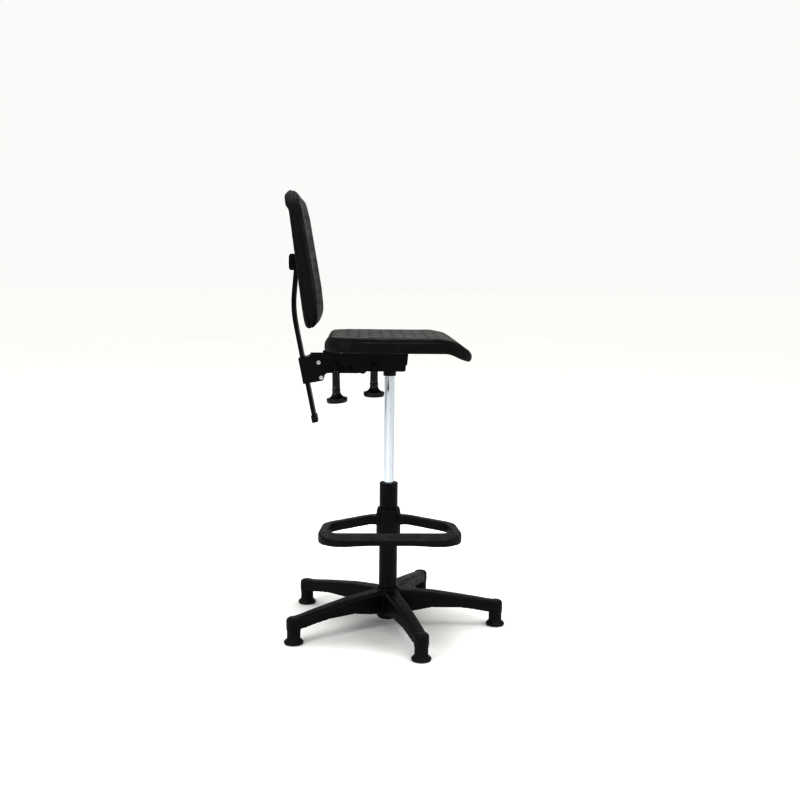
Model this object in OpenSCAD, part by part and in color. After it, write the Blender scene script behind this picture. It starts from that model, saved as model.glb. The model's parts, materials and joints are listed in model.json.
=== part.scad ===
// Height-adjustable swivel work stool with a backrest and a foot ring.
// +X is the way the sitter faces, +Y is the sitter's left, +Z is up.
// The origin is on the floor, under the middle of the column.

/* [Base] */
// Radius of the circle that the glides stand on
glide_circle_r = 302; // [250:1:365]
// Turn of the five-legged base about the column, in degrees
star_turn = -2.7; // [-36:0.1:36]
// Wall of the base's hub round its steel sleeve
hub_wall = 4.5; // [3:0.5:8]
// Height of the hub's lower end above the floor
hub_z = 20; // [18:1:24]
// Height of the hub's upper end above the floor
hub_top_z = 108; // [100:1:120]
// Width of a leg where it leaves the hub
leg_root_w = 52; // [44:1:58]
// Width of a leg next to its foot socket
leg_tip_w = 36; // [30:1:38]
// Wall of the hollow legs
leg_wall = 4; // [3:0.5:5]
// Outer diameter of the foot socket at the end of a leg
socket_d = 39; // [37:1:44]
// Diameter of the flared foot of a glide
glide_foot_d = 51; // [46:1:58]
// Height of a glide below the leg's foot socket
glide_h = 38; // [30:1:44]

/* [Column] */
// Outer diameter of the outer tube
tube_d = 50; // [41:1:62]
// Wall of the outer tube
tube_wall = 2; // [1.5:0.5:3]
// Height of the outer tube's upper end above the floor
tube_top_z = 403; // [370:1:430]
// Outer diameter of the gas spring's pressure tube
gas_d = 28; // [23:1:34]
// Length of pressure tube that shows with the seat right up
gas_show = 297; // [240:1:360]
// Length of pressure tube held inside the outer tube with the seat right up
gas_hold = 88; // [70:1:100]
// Diameter of the piston rod
rod_d = 10; // [8:1:12]

/* [Foot ring] */
// Turn of the foot ring about the column, in degrees from straight ahead
ring_turn = -90; // [-180:1:180]
// Wall of the foot ring's hub round its bush
ring_hub_wall = 5.5; // [4:0.5:9]
// Height of the top of the foot ring's hub above the floor
ring_hub_z = 330; // [310:1:340]
// Length of the foot ring's hub along the column
ring_hub_h = 72; // [60:1:80]
// Overall width of the foot ring
ring_w = 390; // [325:1:470]
// Distance from the column's middle to the front of the tread
ring_reach = 254; // [230:1:280]
// Depth of the tread, front to back
tread_w = 70; // [55:1:80]
// Width of the ring's bent side bars
ring_bar_w = 25; // [20:1:30]
// Height of the ring's bars
ring_bar_h = 21; // [18:1:26]

/* [Seat] */
// Width of the seat
seat_w = 460; // [380:1:555]
// Distance from the column's middle to the seat's front edge
seat_front = 208; // [190:1:250]
// Distance from the column's middle to the seat's rear edge
seat_rear = 173; // [160:1:176]
// Thickness of the seat at its rim
seat_t = 36; // [30:1:44]
// How far the front edge turns down below the underside
seat_nose_drop = 20; // [12:1:26]

/* [Mechanism] */
// Width of the tray under the seat
tray_w = 130; // [108:1:156]
// Depth of the tray below the seat
tray_h = 57; // [55:1:60]
// Sheet thickness of the tray
tray_wall = 3; // [2:0.5:4]
// Thickness of the plate on which the seat is bolted
plate_t = 4; // [3:0.5:6]
// Length of the rod in the gas spring's handle
gas_handle_l = 72; // [60:1:90]
// Length of the rod in the tilt lock's handle
lock_handle_l = 89; // [70:1:110]
// Forward lean of the tilt lock's handle, in degrees
lock_tilt = 1; // [0:1:10]
// Diameter of the handles' flared ends
handle_flare_d = 55; // [44:1:60]

/* [Back] */
// Width of the backrest
back_w = 400; // [340:1:440]
// Height of the backrest
back_h = 358; // [320:1:380]
// Thickness of the backrest at its sides
back_t = 34; // [30:1:40]
// Hollow across the front of the backrest
back_hollow = 13; // [8:1:16]
// Backward lean of the backrest, in degrees
back_lean = 7.6; // [4:0.1:10]
// Thickness of the flat bar that carries the backrest
bar_t = 10; // [8:1:12]
// Width of the flat bar
bar_w = 50; // [41:1:56]
// Backward lean of the bar in its clamp, in degrees
bar_lean = 11.2; // [6:0.1:12]

/* [Fits] */
// Radial clearance of running fits
run_fit = 0.05; // [0.02:0.01:0.1]
// Clearance of parts fixed to each other
fix_fit = 0.03; // [0.01:0.01:0.05]
// Gap between parts that move past each other
free_gap = 0.4; // [0.3:0.1:1]

/* [Hidden] */

ROUND = 64;         // segments of a full circle
LEGS = 5;
BALLS = 9;

// Column
tube_r = tube_d / 2;
bore_r = tube_r - tube_wall;
taper_in = 0.9;                         // how much the tube's radius shrinks down to its foot
gas_r = gas_d / 2;
gas_bottom_z = tube_top_z - gas_hold;
socket_z = tube_top_z + gas_show;       // lower end of the seat's taper socket
socket_h = 48;
socket_wall = 3.2;
socket_flange = 8;                      // how far the socket's flange stands out over the tray's floor
gas_top_z = socket_z + socket_h;
gas_cone = 0.8;                         // radius lost over the length of the taper
gas_wall = 1.5;
rod_r = rod_d / 2;
guide_flange = 3;
guide_l = 78;
floor_plate_z = hub_z + 4;              // underside of the outer tube's end plate
floor_plate_t = 4;
race_t = 2;
ball_d = 4;
race_r = 14;
ball_circle_r = 10;
race_z = floor_plate_z + floor_plate_t; // top of the end plate, under the bearing
bearing_top_z = race_z + 2 * race_t + ball_d;
stop_t = 7;                             // rubber bump stop
rod_top_z = gas_bottom_z + 34;

// Base
socket_top_z = glide_h + 35;            // top of a foot socket
sleeve_wall = 2.5;
hub_d = tube_d + 2 * (sleeve_wall + hub_wall);
glide_stem_r = 5.5;
pad_r = 16;
pad_t = 3;                              // how far a glide's pad stands below its rim
// Upper and lower edge of a leg: share of its length, height
leg_top = [[0, hub_top_z - 4], [0.41, hub_top_z - 12], [0.66, hub_top_z - 22],
    [0.8, glide_h + 42], [0.93, glide_h + 35.5], [1, socket_top_z - 1]];
leg_under = [[0, hub_z + 14], [0.245, hub_z + 24], [0.41, hub_z + 34], [0.66, glide_h + 16],
    [0.8, glide_h + 11], [0.93, glide_h + 4], [1, glide_h + 4]];

// Foot ring
bush_wall = 3;
bush_lip = 2;
ring_hub_r = tube_r + bush_wall + ring_hub_wall;
ring_hub_low = ring_hub_z - ring_hub_h;
ring_half = ring_w / 2;
side_in = ring_half - ring_bar_w;
ring_draw = 17;                         // how far each side draws in towards the rear
ring_corner = 78;                       // radius of the ring's front corners
tread_rim = 9;                          // bar that shows round the tread
tread_front_z = ring_hub_z - 30;        // top of the tread at its front edge
tread_back_z = ring_hub_z - 25;
tread_t = 2.5;
knob_z = ring_hub_low + 22;
knob_d = 40;
knob_screw_r = 4;

// Tray under the seat
plate_top_z = gas_top_z + 28;           // the seat's underside
plate_low_z = plate_top_z - plate_t;
tray_low_z = plate_top_z - tray_h - 2;
tray_floor_z = tray_low_z + tray_wall;
tray_front = 48;
tray_half = tray_w / 2;
lever_z = plate_top_z - 41;             // height of both lever shafts
gas_lever_x = -43.5;
lock_lever_x = -145;
lever_r = 5;
leg_y = tray_half + 17;                 // where a lever rod turns down
pivot = [-166, plate_top_z - 52];       // axis of the back's tilt, as X and Z
tray_rear = pivot[0] - 14;
tray_drop = 5;                          // how much deeper the tray is behind its step
spring_rod_at = [-74, tray_low_z + 4];
tray_bolt_x = [-128, -106];
tray_bolt_z = plate_top_z - 51;
pivot_r = 5;
plate_gap = 30;                         // inner faces of the back carrier's side plates
carrier_t = 4;
carrier_tube_r = 13;
spring_wire = 2.5;
band_w = 18;
band_t = 1.8;
lock_aim = atan2(lever_z - pivot[1], lock_lever_x - pivot[0]);  // from the pivot towards the tilt lock's shaft
cam_r = 5.9;
finger_nose = [-1.5, gas_top_z + 14];   // nose of the gas finger, over the release pin
finger_nose_r = 5;
pin_r = 3;
pin_top_z = finger_nose[1] - finger_nose_r - 0.2;

// Seat
board_t = 10;
board_rear_inset = 15;
board_side_inset = 45;
board_front_inset = 75;
board_gap = 0.1;
board_low_z = plate_top_z + board_gap;
board_top_z = board_low_z + board_t;
bolt_r = 4;
nut_flange_r = 9;
nut_flange_t = 1.2;

// Back
clamp_h = 70;
clamp_rear = 10;                        // rear face of the clamp behind the bar's middle
clamp_front = 21;
clamp_w = bar_w + 18;
wear_t = 2.5;                           // plastic pads on both sides of the bar
leaf_room = 3;
clamp_mid = [-231, plate_top_z - 61];   // middle of the bar in its clamp, as X and Z
clamp_pin_r = 5;
clamp_pin_at = [pivot + [-27, 13], pivot + [-19.5, -28]];
bar_low = -143;                         // lower end of the bar, along the bar from the clamp's middle
bar_bend_at = 126;                      // where the bar starts to bend, along the bar
bar_bend_r = 300;
bar_top_lean = -5;
bar_over_pivot = 8;                     // straight length above the height of the hinge
pivot_up = 82.5;                        // hinge of the backrest above the bend, along the bar
pivot_behind = 9.5;                     // and behind the bar's middle
bar_turn = bar_lean - bar_top_lean;
bar_bend_end = [bar_bend_r * (1 - cos(bar_turn)), bar_bend_at + bar_bend_r * sin(bar_turn)];
bar_up = [sin(bar_turn), cos(bar_turn)];
bar_across = [cos(bar_turn), -sin(bar_turn)];
bracket_at = bar_bend_end + pivot_up * bar_up - pivot_behind * bar_across;
back_pivot = clamp_mid + [                  // axis of the backrest's own tilt, as X and Z
    bracket_at[0] * cos(bar_lean) - bracket_at[1] * sin(bar_lean),
    bracket_at[0] * sin(bar_lean) + bracket_at[1] * cos(bar_lean)];
pivot_pin_r = 3.5;
lug_y = bar_w / 2 + 8;
lug_t = 4;
back_rear_x = back_pivot[0] + 18;       // rear face of the backrest at the height of its pivot
back_plate_t = 3;
back_plate_half = [60, 50];             // half the back plate's width and height
back_below = 175;                       // from the hinge down to the backrest's lower edge
back_low = -back_below / cos(back_lean);
back_lip = 7;                           // how far the top rolls back

// ---------- helpers ----------

function unit(v) = v / norm(v);

// Points of an arc of radius r that rounds the corner b between a and c
function corner(a, b, c, r, n) =
    let (
        u = unit(a - b),
        v = unit(c - b),
        half = acos(max(-1, min(1, u * v))) / 2,
        m = b + unit(u + v) * r / sin(half),
        p = b + u * r / tan(half) - m,
        q = b + v * r / tan(half) - m,
        start = atan2(p[1], p[0]),
        raw = atan2(q[1], q[0]) - start,
        turn = raw > 180 ? raw - 360 : raw < -180 ? raw + 360 : raw
    )
    [for (i = [0 : n]) m + r * [cos(start + turn * i / n), sin(start + turn * i / n)]];

// Outline through points, each given as [x, y, corner radius]
function rounded(points, n = 6) =
    let (last = len(points) - 1, flat = [for (p = points) [p[0], p[1]]])
    [for (i = [0 : last])
        each (points[i][2] <= 0
            ? [flat[i]]
            : corner(flat[i == 0 ? last : i - 1], flat[i], flat[i == last ? 0 : i + 1], points[i][2], n))];

// A rod along Z from z0 to z1
module rod(r, z0, z1, r2 = undef) {
    translate([0, 0, z0])
        cylinder(r1 = r, r2 = r2 == undef ? r : r2, h = z1 - z0, $fn = ROUND);
}

// A tube along Z
module tube(outer, inner, z0, z1) {
    difference() {
        rod(outer, z0, z1);
        rod(inner, z0 - 1, z1 + 1);
    }
}

// A rod along Y at [x, z]
module cross_rod(r, at, y0, y1) {
    translate([at[0], y1, at[1]])
        rotate([90, 0, 0])
            cylinder(r = r, h = y1 - y0, $fn = ROUND);
}

// An XZ outline given thickness along Y
module side_plate(y0, y1) {
    translate([0, y1, 0])
        rotate([90, 0, 0])
            linear_extrude(height = y1 - y0)
                children();
}

// Puts children at every leg's end
module at_leg(i) {
    rotate([0, 0, star_turn + i * 360 / LEGS])
        translate([glide_circle_r, 0, 0])
            children();
}

// Puts children in the bar's own frame: Z along the bar, origin in the clamp's middle
module in_clamp() {
    translate([clamp_mid[0], 0, clamp_mid[1]])
        rotate([0, -bar_lean, 0])
            children();
}

// A hexagon bolt head or nut along Y
module hex_y(across, at, y0, y1) {
    translate([at[0], y1, at[1]])
        rotate([90, 0, 0])
            cylinder(d = across / cos(30), h = y1 - y0, $fn = 6);
}

// ---------- base ----------

// A leg's edge, stretched to its length and shifted in height
function leg_line(line, shift = 0) =
    [for (p = line) [p[0] * glide_circle_r, p[1] + shift]];

module leg_side(inset) {
    top = leg_line(leg_top, -inset);
    under = leg_line(leg_under, inset > 0 ? -30 : 0);
    polygon(concat(top, [for (i = [len(under) - 1 : -1 : 0]) under[i]]));
}

module leg_plan(inset) {
    end = glide_circle_r - (inset > 0 ? socket_d / 2 + 2 : 0);
    root = leg_root_w / 2 - inset;
    tip = leg_tip_w / 2 - inset;
    polygon([[inset > 0 ? hub_d / 2 : 0, -root], [end, -tip], [end, tip], [inset > 0 ? hub_d / 2 : 0, root]]);
}

module leg_block(inset) {
    intersection() {
        side_plate(-leg_root_w, leg_root_w)
            leg_side(inset);
        linear_extrude(height = 2 * hub_top_z)
            leg_plan(inset);
    }
}

module base_star() {
    color("#1b1b1d")
        difference() {
            union() {
                rod(hub_d / 2, hub_z + 10, hub_top_z - 6);
                rod(hub_d / 2, hub_top_z - 6, hub_top_z, hub_d / 2 - 4);
                rod(hub_d / 2 - 2, hub_z, hub_z + 10);
                for (i = [0 : LEGS - 1])
                    rotate([0, 0, star_turn + i * 360 / LEGS])
                        leg_block(0);
                for (i = [0 : LEGS - 1])
                    at_leg(i) {
                        rod(socket_d / 2, glide_h + 2, socket_top_z - 4);
                        rod(socket_d / 2, socket_top_z - 4, socket_top_z, socket_d / 2 - 5);
                    }
            }
            for (i = [0 : LEGS - 1])
                rotate([0, 0, star_turn + i * 360 / LEGS])
                    leg_block(leg_wall);
            for (i = [0 : LEGS - 1])
                at_leg(i)
                    rod(glide_stem_r + fix_fit, 0, glide_h + 24);
            hub_bore();
        }
}

// Tapered hole for the steel sleeve in the hub
module hub_bore() {
    top_r = tube_r + sleeve_wall + fix_fit;
    rod(top_r - taper_in, hub_z - 1, hub_z + 0.01);
    rod(top_r - taper_in, hub_z, hub_top_z, top_r);
    rod(top_r, hub_top_z - 0.01, hub_top_z + 1);
}

module hub_sleeve() {
    color("#8c8f93")
        difference() {
            rod(tube_r + sleeve_wall - taper_in, hub_z, hub_top_z, tube_r + sleeve_wall);
            rod(tube_r - taper_in + fix_fit, hub_z - 0.01, hub_top_z, tube_r + fix_fit);
            rod(tube_r + fix_fit, hub_top_z - 0.01, hub_top_z + 1);
            rod(tube_r - taper_in + fix_fit, hub_z - 1, hub_z);
        }
}

module glide(i) {
    flutes = 16;
    color("#151517")
        at_leg(i) {
            difference() {
                union() {
                    rod(glide_foot_d / 2, pad_t, 8);
                    rod(glide_foot_d / 2, 8, 15, socket_d / 2 - 2);
                    rod(socket_d / 2 - 2, 15, glide_h + 2 - fix_fit);
                    rod(glide_stem_r, glide_h, glide_h + 22);
                    rod(socket_d / 2 - 0.5, glide_h - 2, glide_h + 2 - fix_fit);
                }
                for (k = [0 : flutes - 1])
                    rotate([0, 0, k * 360 / flutes])
                        translate([socket_d / 2 - 1.4, 0, 17])
                            cylinder(r = 1.6, h = glide_h - 21, $fn = 24);
                rod(pad_r, pad_t - 1, 2 * pad_t);
            }
        }
}

module glide_pads() {
    color("#5b5e61")
        for (i = [0 : LEGS - 1])
            at_leg(i) {
                rod(pad_r - fix_fit, pad_t, 2 * pad_t);
                rod(glide_foot_d / 2 - 1.5, 0, pad_t);
            }
}

// ---------- column ----------

module outer_tube() {
    color("#161618")
        difference() {
            union() {
                rod(tube_r, hub_top_z, tube_top_z - guide_flange);
                rod(tube_r - taper_in, hub_z, hub_top_z, tube_r);
            }
            rod(bore_r, race_z, tube_top_z);
            rod(race_r + 4, hub_z - 1, floor_plate_z);
            rod(rod_r + 0.3, hub_z, race_z + 1);
        }
}

module tube_guide() {
    color("#202022")
        difference() {
            union() {
                rod(bore_r - fix_fit, tube_top_z - guide_l, tube_top_z - guide_flange);
                rod(tube_r, tube_top_z - guide_flange, tube_top_z - 1);
                rod(tube_r, tube_top_z - 1, tube_top_z, tube_r - 1);
            }
            rod(gas_r + run_fit, 0, tube_top_z + 1);
        }
}

module race(z) {
    color("#b9bcc0")
        difference() {
            rod(race_r, z, z + race_t);
            rod(rod_r + 0.3, z - 1, z + race_t + 1);
        }
}

module ball_at(k, r) {
    rotate([0, 0, k * 360 / BALLS])
        translate([ball_circle_r, 0, race_z + race_t + ball_d / 2])
            sphere(r = r, $fn = 32);
}

module ball_cage() {
    cage_t = 1.6;
    color("#c9a24a")
        difference() {
            tube(race_r - 1, rod_r + 1.5, race_z + race_t + (ball_d - cage_t) / 2,
                race_z + race_t + (ball_d + cage_t) / 2);
            for (k = [0 : BALLS - 1])
                ball_at(k, ball_d / 2 + run_fit);
        }
}

module bearing_balls() {
    color("#d5d7da")
        for (k = [0 : BALLS - 1])
            ball_at(k, ball_d / 2 - fix_fit);
}

module piston_rod() {
    groove_z = hub_z + 1;
    color("#c4c8cc")
        difference() {
            union() {
                rod(rod_r, hub_z - 2, rod_top_z);
                rod(race_r - 2, bearing_top_z, bearing_top_z + 2);
            }
            difference() {
                rod(rod_r + 1, groove_z, groove_z + 2);
                rod(rod_r - 1, groove_z - 1, groove_z + 3);
            }
        }
}

module rod_clip() {
    color("#8a8d91")
        difference() {
            tube(rod_r + 3.5, rod_r - 1 + fix_fit, hub_z + 1.2, hub_z + 2.8);
            translate([0, -rod_r * 0.7, 0])
                cube([rod_r * 2, rod_r * 1.4, 2 * hub_z]);
        }
}

module piston() {
    color("#77797c")
        difference() {
            rod(gas_r - gas_wall - run_fit, rod_top_z - 10, rod_top_z + 4);
            rod(rod_r + fix_fit, rod_top_z - 11, rod_top_z + fix_fit);
            difference() {
                rod(gas_r, rod_top_z - 4, rod_top_z - 1);
                rod(gas_r - gas_wall - 1.5, rod_top_z - 5, rod_top_z);
            }
        }
}

module bump_stop() {
    color("#252527")
        tube(race_r - 1, rod_r + run_fit, bearing_top_z + 2 + fix_fit, bearing_top_z + 2 + stop_t);
}

module pressure_tube() {
    color("#d9dce0")
        difference() {
            union() {
                rod(gas_r, gas_bottom_z, socket_z);
                rod(gas_r, socket_z, gas_top_z, gas_r - gas_cone);
            }
            rod(gas_r - gas_wall, gas_bottom_z - 1, gas_top_z - 18);
            rod(gas_r - gas_wall - 4, gas_top_z - 19, gas_top_z + 1);
        }
}

module rod_guide() {
    color("#6a6d70")
        tube(gas_r - gas_wall - fix_fit, rod_r + run_fit, gas_bottom_z, gas_bottom_z + 18);
}

module valve_body() {
    color("#9c9fa2")
        tube(gas_r - gas_wall - 4 - fix_fit, pin_r + run_fit, gas_top_z - 24, gas_top_z);
}

module release_pin() {
    color("#c6c9cc")
        rod(pin_r, gas_top_z - 30, pin_top_z);
}

// ---------- seat carriage ----------

module taper_socket() {
    color("#18181a")
        difference() {
            union() {
                rod(gas_r + socket_wall - 0.6, socket_z, socket_z + 1, gas_r + socket_wall);
                rod(gas_r + socket_wall, socket_z + 1, gas_top_z - 3);
                rod(gas_r + socket_wall + socket_flange, tray_floor_z + fix_fit, tray_floor_z + 4);
            }
            rod(gas_r + fix_fit, socket_z - 0.01, gas_top_z, gas_r - gas_cone + fix_fit);
            rod(gas_r + fix_fit, socket_z - 1, socket_z);
        }
}

// Side view of the tray's outside; the floor drops a little at the rear
function tray_side(in) = rounded([
    [tray_rear, plate_low_z + (in > 0 ? 1 : 0), 0],
    [tray_rear, pivot[1] - 10 + in, 0],
    [tray_rear + 24, tray_low_z - tray_drop + in, in > 0 ? 3 : 6],
    [spring_rod_at[0] - 12, tray_low_z - tray_drop + in, 0],
    [spring_rod_at[0] + 12, tray_low_z + in, 0],
    [tray_front - 7 - in, tray_low_z + in, in > 0 ? 3 : 6],
    [tray_front - 7 - in, tray_low_z + 15, 0],
    [tray_front - 3 - in, tray_low_z + 19, 0],
    [tray_front - in, plate_low_z + (in > 0 ? 1 : 0), 0]
], 5);

module mech_tray() {
    color("#131315")
        difference() {
            side_plate(-tray_half, tray_half)
                polygon(tray_side(0));
            side_plate(tray_wall - tray_half, tray_half - tray_wall)
                polygon(tray_side(tray_wall));
            // open rear for the back carrier
            translate([tray_rear - 1, -plate_gap - carrier_t - 3, 0])
                cube([tray_wall + 30, 2 * (plate_gap + carrier_t + 3), plate_top_z - 1]);
            rod(gas_r + socket_wall + fix_fit, tray_low_z - 1, tray_floor_z + 1);
            cross_rod(lever_r + run_fit, [gas_lever_x, lever_z], -tray_w, tray_w);
            cross_rod(lever_r + run_fit, [lock_lever_x, lever_z], -tray_w, tray_w);
            cross_rod(pivot_r + fix_fit, pivot, -tray_w, tray_w);
            for (x = tray_bolt_x)
                cross_rod(4 + fix_fit, [x, tray_bolt_z], -tray_w, tray_w);
            cross_rod(6 + fix_fit, spring_rod_at, -tray_w, tray_w);
        }
}

module mounting_plate() {
    color("#1a1a1c")
        difference() {
            translate([0, 0, plate_low_z])
                linear_extrude(height = plate_t)
                    polygon(rounded([
                        [tray_rear + 20, -tray_half - 20, 12],
                        [tray_front - 2, -tray_half - 20, 12],
                        [tray_front - 2, tray_half + 20, 12],
                        [tray_rear + 20, tray_half + 20, 12]
                    ]));
            at_seat_bolts()
                rod(bolt_r + 0.3, plate_low_z - 1, plate_top_z + 1);
        }
}

module at_seat_bolts() {
    for (x = [tray_rear + 50, tray_front - 18])
        for (y = [-tray_half - 9, tray_half + 9])
            translate([x, y, 0])
                children();
}

module seat_bolts() {
    color("#9ea1a5")
        at_seat_bolts() {
            rod(bolt_r, plate_low_z - 2, board_top_z - 1);
            translate([0, 0, plate_low_z - 6])
                cylinder(d = 13 / cos(30), h = 5.4, $fn = 6);
            rod(2 * bolt_r, plate_low_z - 1.6, plate_low_z - fix_fit);
        }
}

module tee_nuts() {
    color("#a6a9ad")
        at_seat_bolts()
            difference() {
                union() {
                    rod(bolt_r + 1.5, board_low_z + 1, board_top_z);
                    rod(nut_flange_r, board_top_z, board_top_z + nut_flange_t);
                }
                rod(bolt_r + fix_fit, 0, board_top_z - 1 + fix_fit);
            }
}

// Plan of the seat's board, or of the pocket that holds it
module board_outline(extra = 0) {
    rear = -seat_rear + board_rear_inset - extra;
    front = seat_front - board_front_inset + extra;
    half = seat_w / 2 - board_side_inset + extra;
    polygon(rounded([[rear, -half, 50], [front, -half, 50], [front, half, 50], [rear, half, 50]]));
}

module seat_board() {
    color("#b08d5b")
        difference() {
            translate([0, 0, board_low_z])
                linear_extrude(height = board_t)
                    board_outline();
            at_seat_bolts()
                rod(bolt_r + 1.5 + fix_fit, board_low_z - 1, board_top_z + 1);
        }
}

// Side view of the seat: flat, falling away to a turned-down front edge
function seat_side() =
    let (low = board_low_z, top = board_low_z + seat_t)
    rounded([
        [-seat_rear, low, 4],
        [-seat_rear, top, 16],
        [seat_front - 84, top, 110],
        [seat_front - 40, top - 9, 60],
        [seat_front - 8, top - 30, 30],
        [seat_front + 1, top - 46, 10],
        [seat_front - 8, low - seat_nose_drop - 3, 7],
        [seat_front - 30, low - seat_nose_drop + 5, 14],
        [seat_front - 62, low, 30]
    ], 6);

module seat_pad() {
    color("#26262a")
        difference() {
            intersection() {
                side_plate(-seat_w / 2, seat_w / 2)
                    polygon(seat_side());
                translate([0, 0, board_low_z - 60])
                    linear_extrude(height = 160)
                        polygon(rounded([
                            [-seat_rear, -seat_w / 2, 85],
                            [seat_front, -seat_w / 2, 60],
                            [seat_front, seat_w / 2, 60],
                            [-seat_rear, seat_w / 2, 85]
                        ], 16));
            }
            translate([0, 0, board_low_z - 1])
                linear_extrude(height = board_t + 1 + fix_fit)
                    board_outline(fix_fit);
            at_seat_bolts()
                rod(nut_flange_r + fix_fit, board_low_z, board_top_z + nut_flange_t + fix_fit);
        }
}

// A coil spring about the tilt axis, from y0 to y1
module coil(y0, y1) {
    turns = 5;
    steps = 16;
    sides = 6;
    mean_r = carrier_tube_r + 0.8 + spring_wire / 2;
    rings = turns * steps;
    points = [for (i = [0 : rings]) let (a = i * 360 / steps, y = y0 + (y1 - y0) * i / rings)
        for (k = [0 : sides - 1])
            let (b = k * 360 / sides, r = mean_r + spring_wire / 2 * cos(b))
            [r * cos(a), y + spring_wire / 2 * sin(b), r * sin(a)]];
    faces = concat(
        [[for (k = [0 : sides - 1]) k]],
        [[for (k = [sides - 1 : -1 : 0]) rings * sides + k]],
        [for (i = [0 : rings - 1]) for (k = [0 : sides - 1])
            let (n = (k + 1) % sides)
            [i * sides + k, (i + 1) * sides + k, (i + 1) * sides + n, i * sides + n]]
    );
    translate([pivot[0], 0, pivot[1]])
        polyhedron(points = points, faces = faces, convexity = 6);
}

module tilt_springs() {
    gap = 2.5;
    color("#4a4c50") {
        coil(band_w / 2 + 4, plate_gap - gap);
        coil(gap - plate_gap, -band_w / 2 - 4);
    }
}

module brake_band() {
    inner = carrier_tube_r + 0.15;
    spread = 27;
    color("#3b3d40")
        translate([pivot[0], band_w / 2, pivot[1]])
            rotate([90, 0, 0])
                rotate([0, 0, lock_aim])
                    linear_extrude(height = band_w) {
                        difference() {
                            circle(r = inner + band_t, $fn = ROUND);
                            circle(r = inner, $fn = ROUND);
                            polygon([[0, 0], [30 * cos(spread), 30 * sin(spread)], [40, 0],
                                [30 * cos(spread), -30 * sin(spread)]]);
                        }
                        for (s = [-1, 1])
                            translate([inner * cos(spread), s * (inner * sin(spread) + band_t / 2)])
                                translate([0.3, -band_t / 2])
                                    square([18, band_t]);
                    }
}

module tray_bolts() {
    color("#2c2d30")
        for (x = tray_bolt_x) {
            cross_rod(4, [x, tray_bolt_z], -tray_half, tray_half + 8);
            cross_rod(6.5, [x, tray_bolt_z], -tray_half - 5, -tray_half - fix_fit);
            cross_rod(4, [x, tray_bolt_z], -tray_half - 1, -tray_half + 1);
            difference() {
                hex_y(13, [x, tray_bolt_z], tray_half + fix_fit, tray_half + 6.5);
                cross_rod(3, [x, tray_bolt_z], tray_half - 1, tray_half);
            }
        }
}

module spring_rod() {
    color("#2a2b2e") {
        cross_rod(6, spring_rod_at, -tray_half - 3, tray_half + 3);
        for (s = [-1, 1])
            cross_rod(10, spring_rod_at, s > 0 ? tray_half + fix_fit : -tray_half - 4,
                s > 0 ? tray_half + 4 : -tray_half - fix_fit);
    }
}

module pivot_bolt() {
    color("#33353a") {
        cross_rod(pivot_r, pivot, -tray_half - 1, tray_half + 9);
        cross_rod(8, pivot, -tray_half - 5, -tray_half - fix_fit);
        hex_y(15, pivot, tray_half + fix_fit, tray_half + 7);
    }
}

module pivot_spacers() {
    color("#515357")
        for (s = [-1, 1])
            difference() {
                cross_rod(8, pivot, s > 0 ? plate_gap + carrier_t + free_gap : fix_fit - tray_half + tray_wall,
                    s > 0 ? tray_half - tray_wall - fix_fit : -plate_gap - carrier_t - free_gap);
                cross_rod(pivot_r + fix_fit, pivot, -tray_w, tray_w);
            }
}

// ---------- levers ----------

// A bent steel rod: across the tray, then down into the handle
module lever_rod(x, tilt, length) {
    far = tray_half + 5;
    translate([x, 0, lever_z])
        difference() {
            union() {
                cross_rod(lever_r, [0, 0], -leg_y, far);
                rotate([0, -tilt, 0]) {
                    translate([0, -leg_y, 0])
                        rod(lever_r, -length, 0);
                    translate([0, -leg_y, 0])
                        sphere(r = lever_r, $fn = 32);
                }
            }
            difference() {
                cross_rod(lever_r + 1, [0, 0], tray_half + 1.2, tray_half + 2.8);
                cross_rod(lever_r - 1, [0, 0], tray_half, far);
            }
        }
}

// Flared plastic handle that hangs on the end of the rod
module lever_handle(x, tilt, length, flare_d) {
    stem = 9.5;
    low = -length - 12;
    translate([x, -leg_y, lever_z])
        rotate([0, -tilt, 0])
            difference() {
                rotate_extrude($fn = ROUND)
                    polygon(concat(
                        [[0, -14], [stem, -14]],
                        [for (a = [0 : 15 : 75])
                            [flare_d / 2 - (flare_d / 2 - stem) * cos(a), low + 34 - 17 * sin(a)]],
                        [[flare_d / 2, low + 14], [flare_d / 2 - 0.5, low + 4], [flare_d / 2 - 4, low], [0, low]]
                    ));
                rod(lever_r + fix_fit, -length - fix_fit, 0);
                // room for the knee of the rod
                rod(lever_r + fix_fit, -15, 10);
            }
}

module lever_clip(x) {
    color("#8a8d91")
        translate([x, tray_half + 2.8 - 0.2, lever_z])
            rotate([90, 0, 0])
                difference() {
                    cylinder(r = lever_r + 3, h = 1.2, $fn = ROUND);
                    translate([0, 0, -1])
                        cylinder(r = lever_r - 1 + fix_fit, h = 4, $fn = ROUND);
                    translate([0, -lever_r * 0.6, -1])
                        cube([lever_r * 3, lever_r * 1.2, 4]);
                }
}

module gas_lever_rod() {
    color("#222326")
        lever_rod(gas_lever_x, 0, gas_handle_l);
}

module lock_lever_rod() {
    color("#222326")
        lever_rod(lock_lever_x, lock_tilt, lock_handle_l);
}

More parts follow.
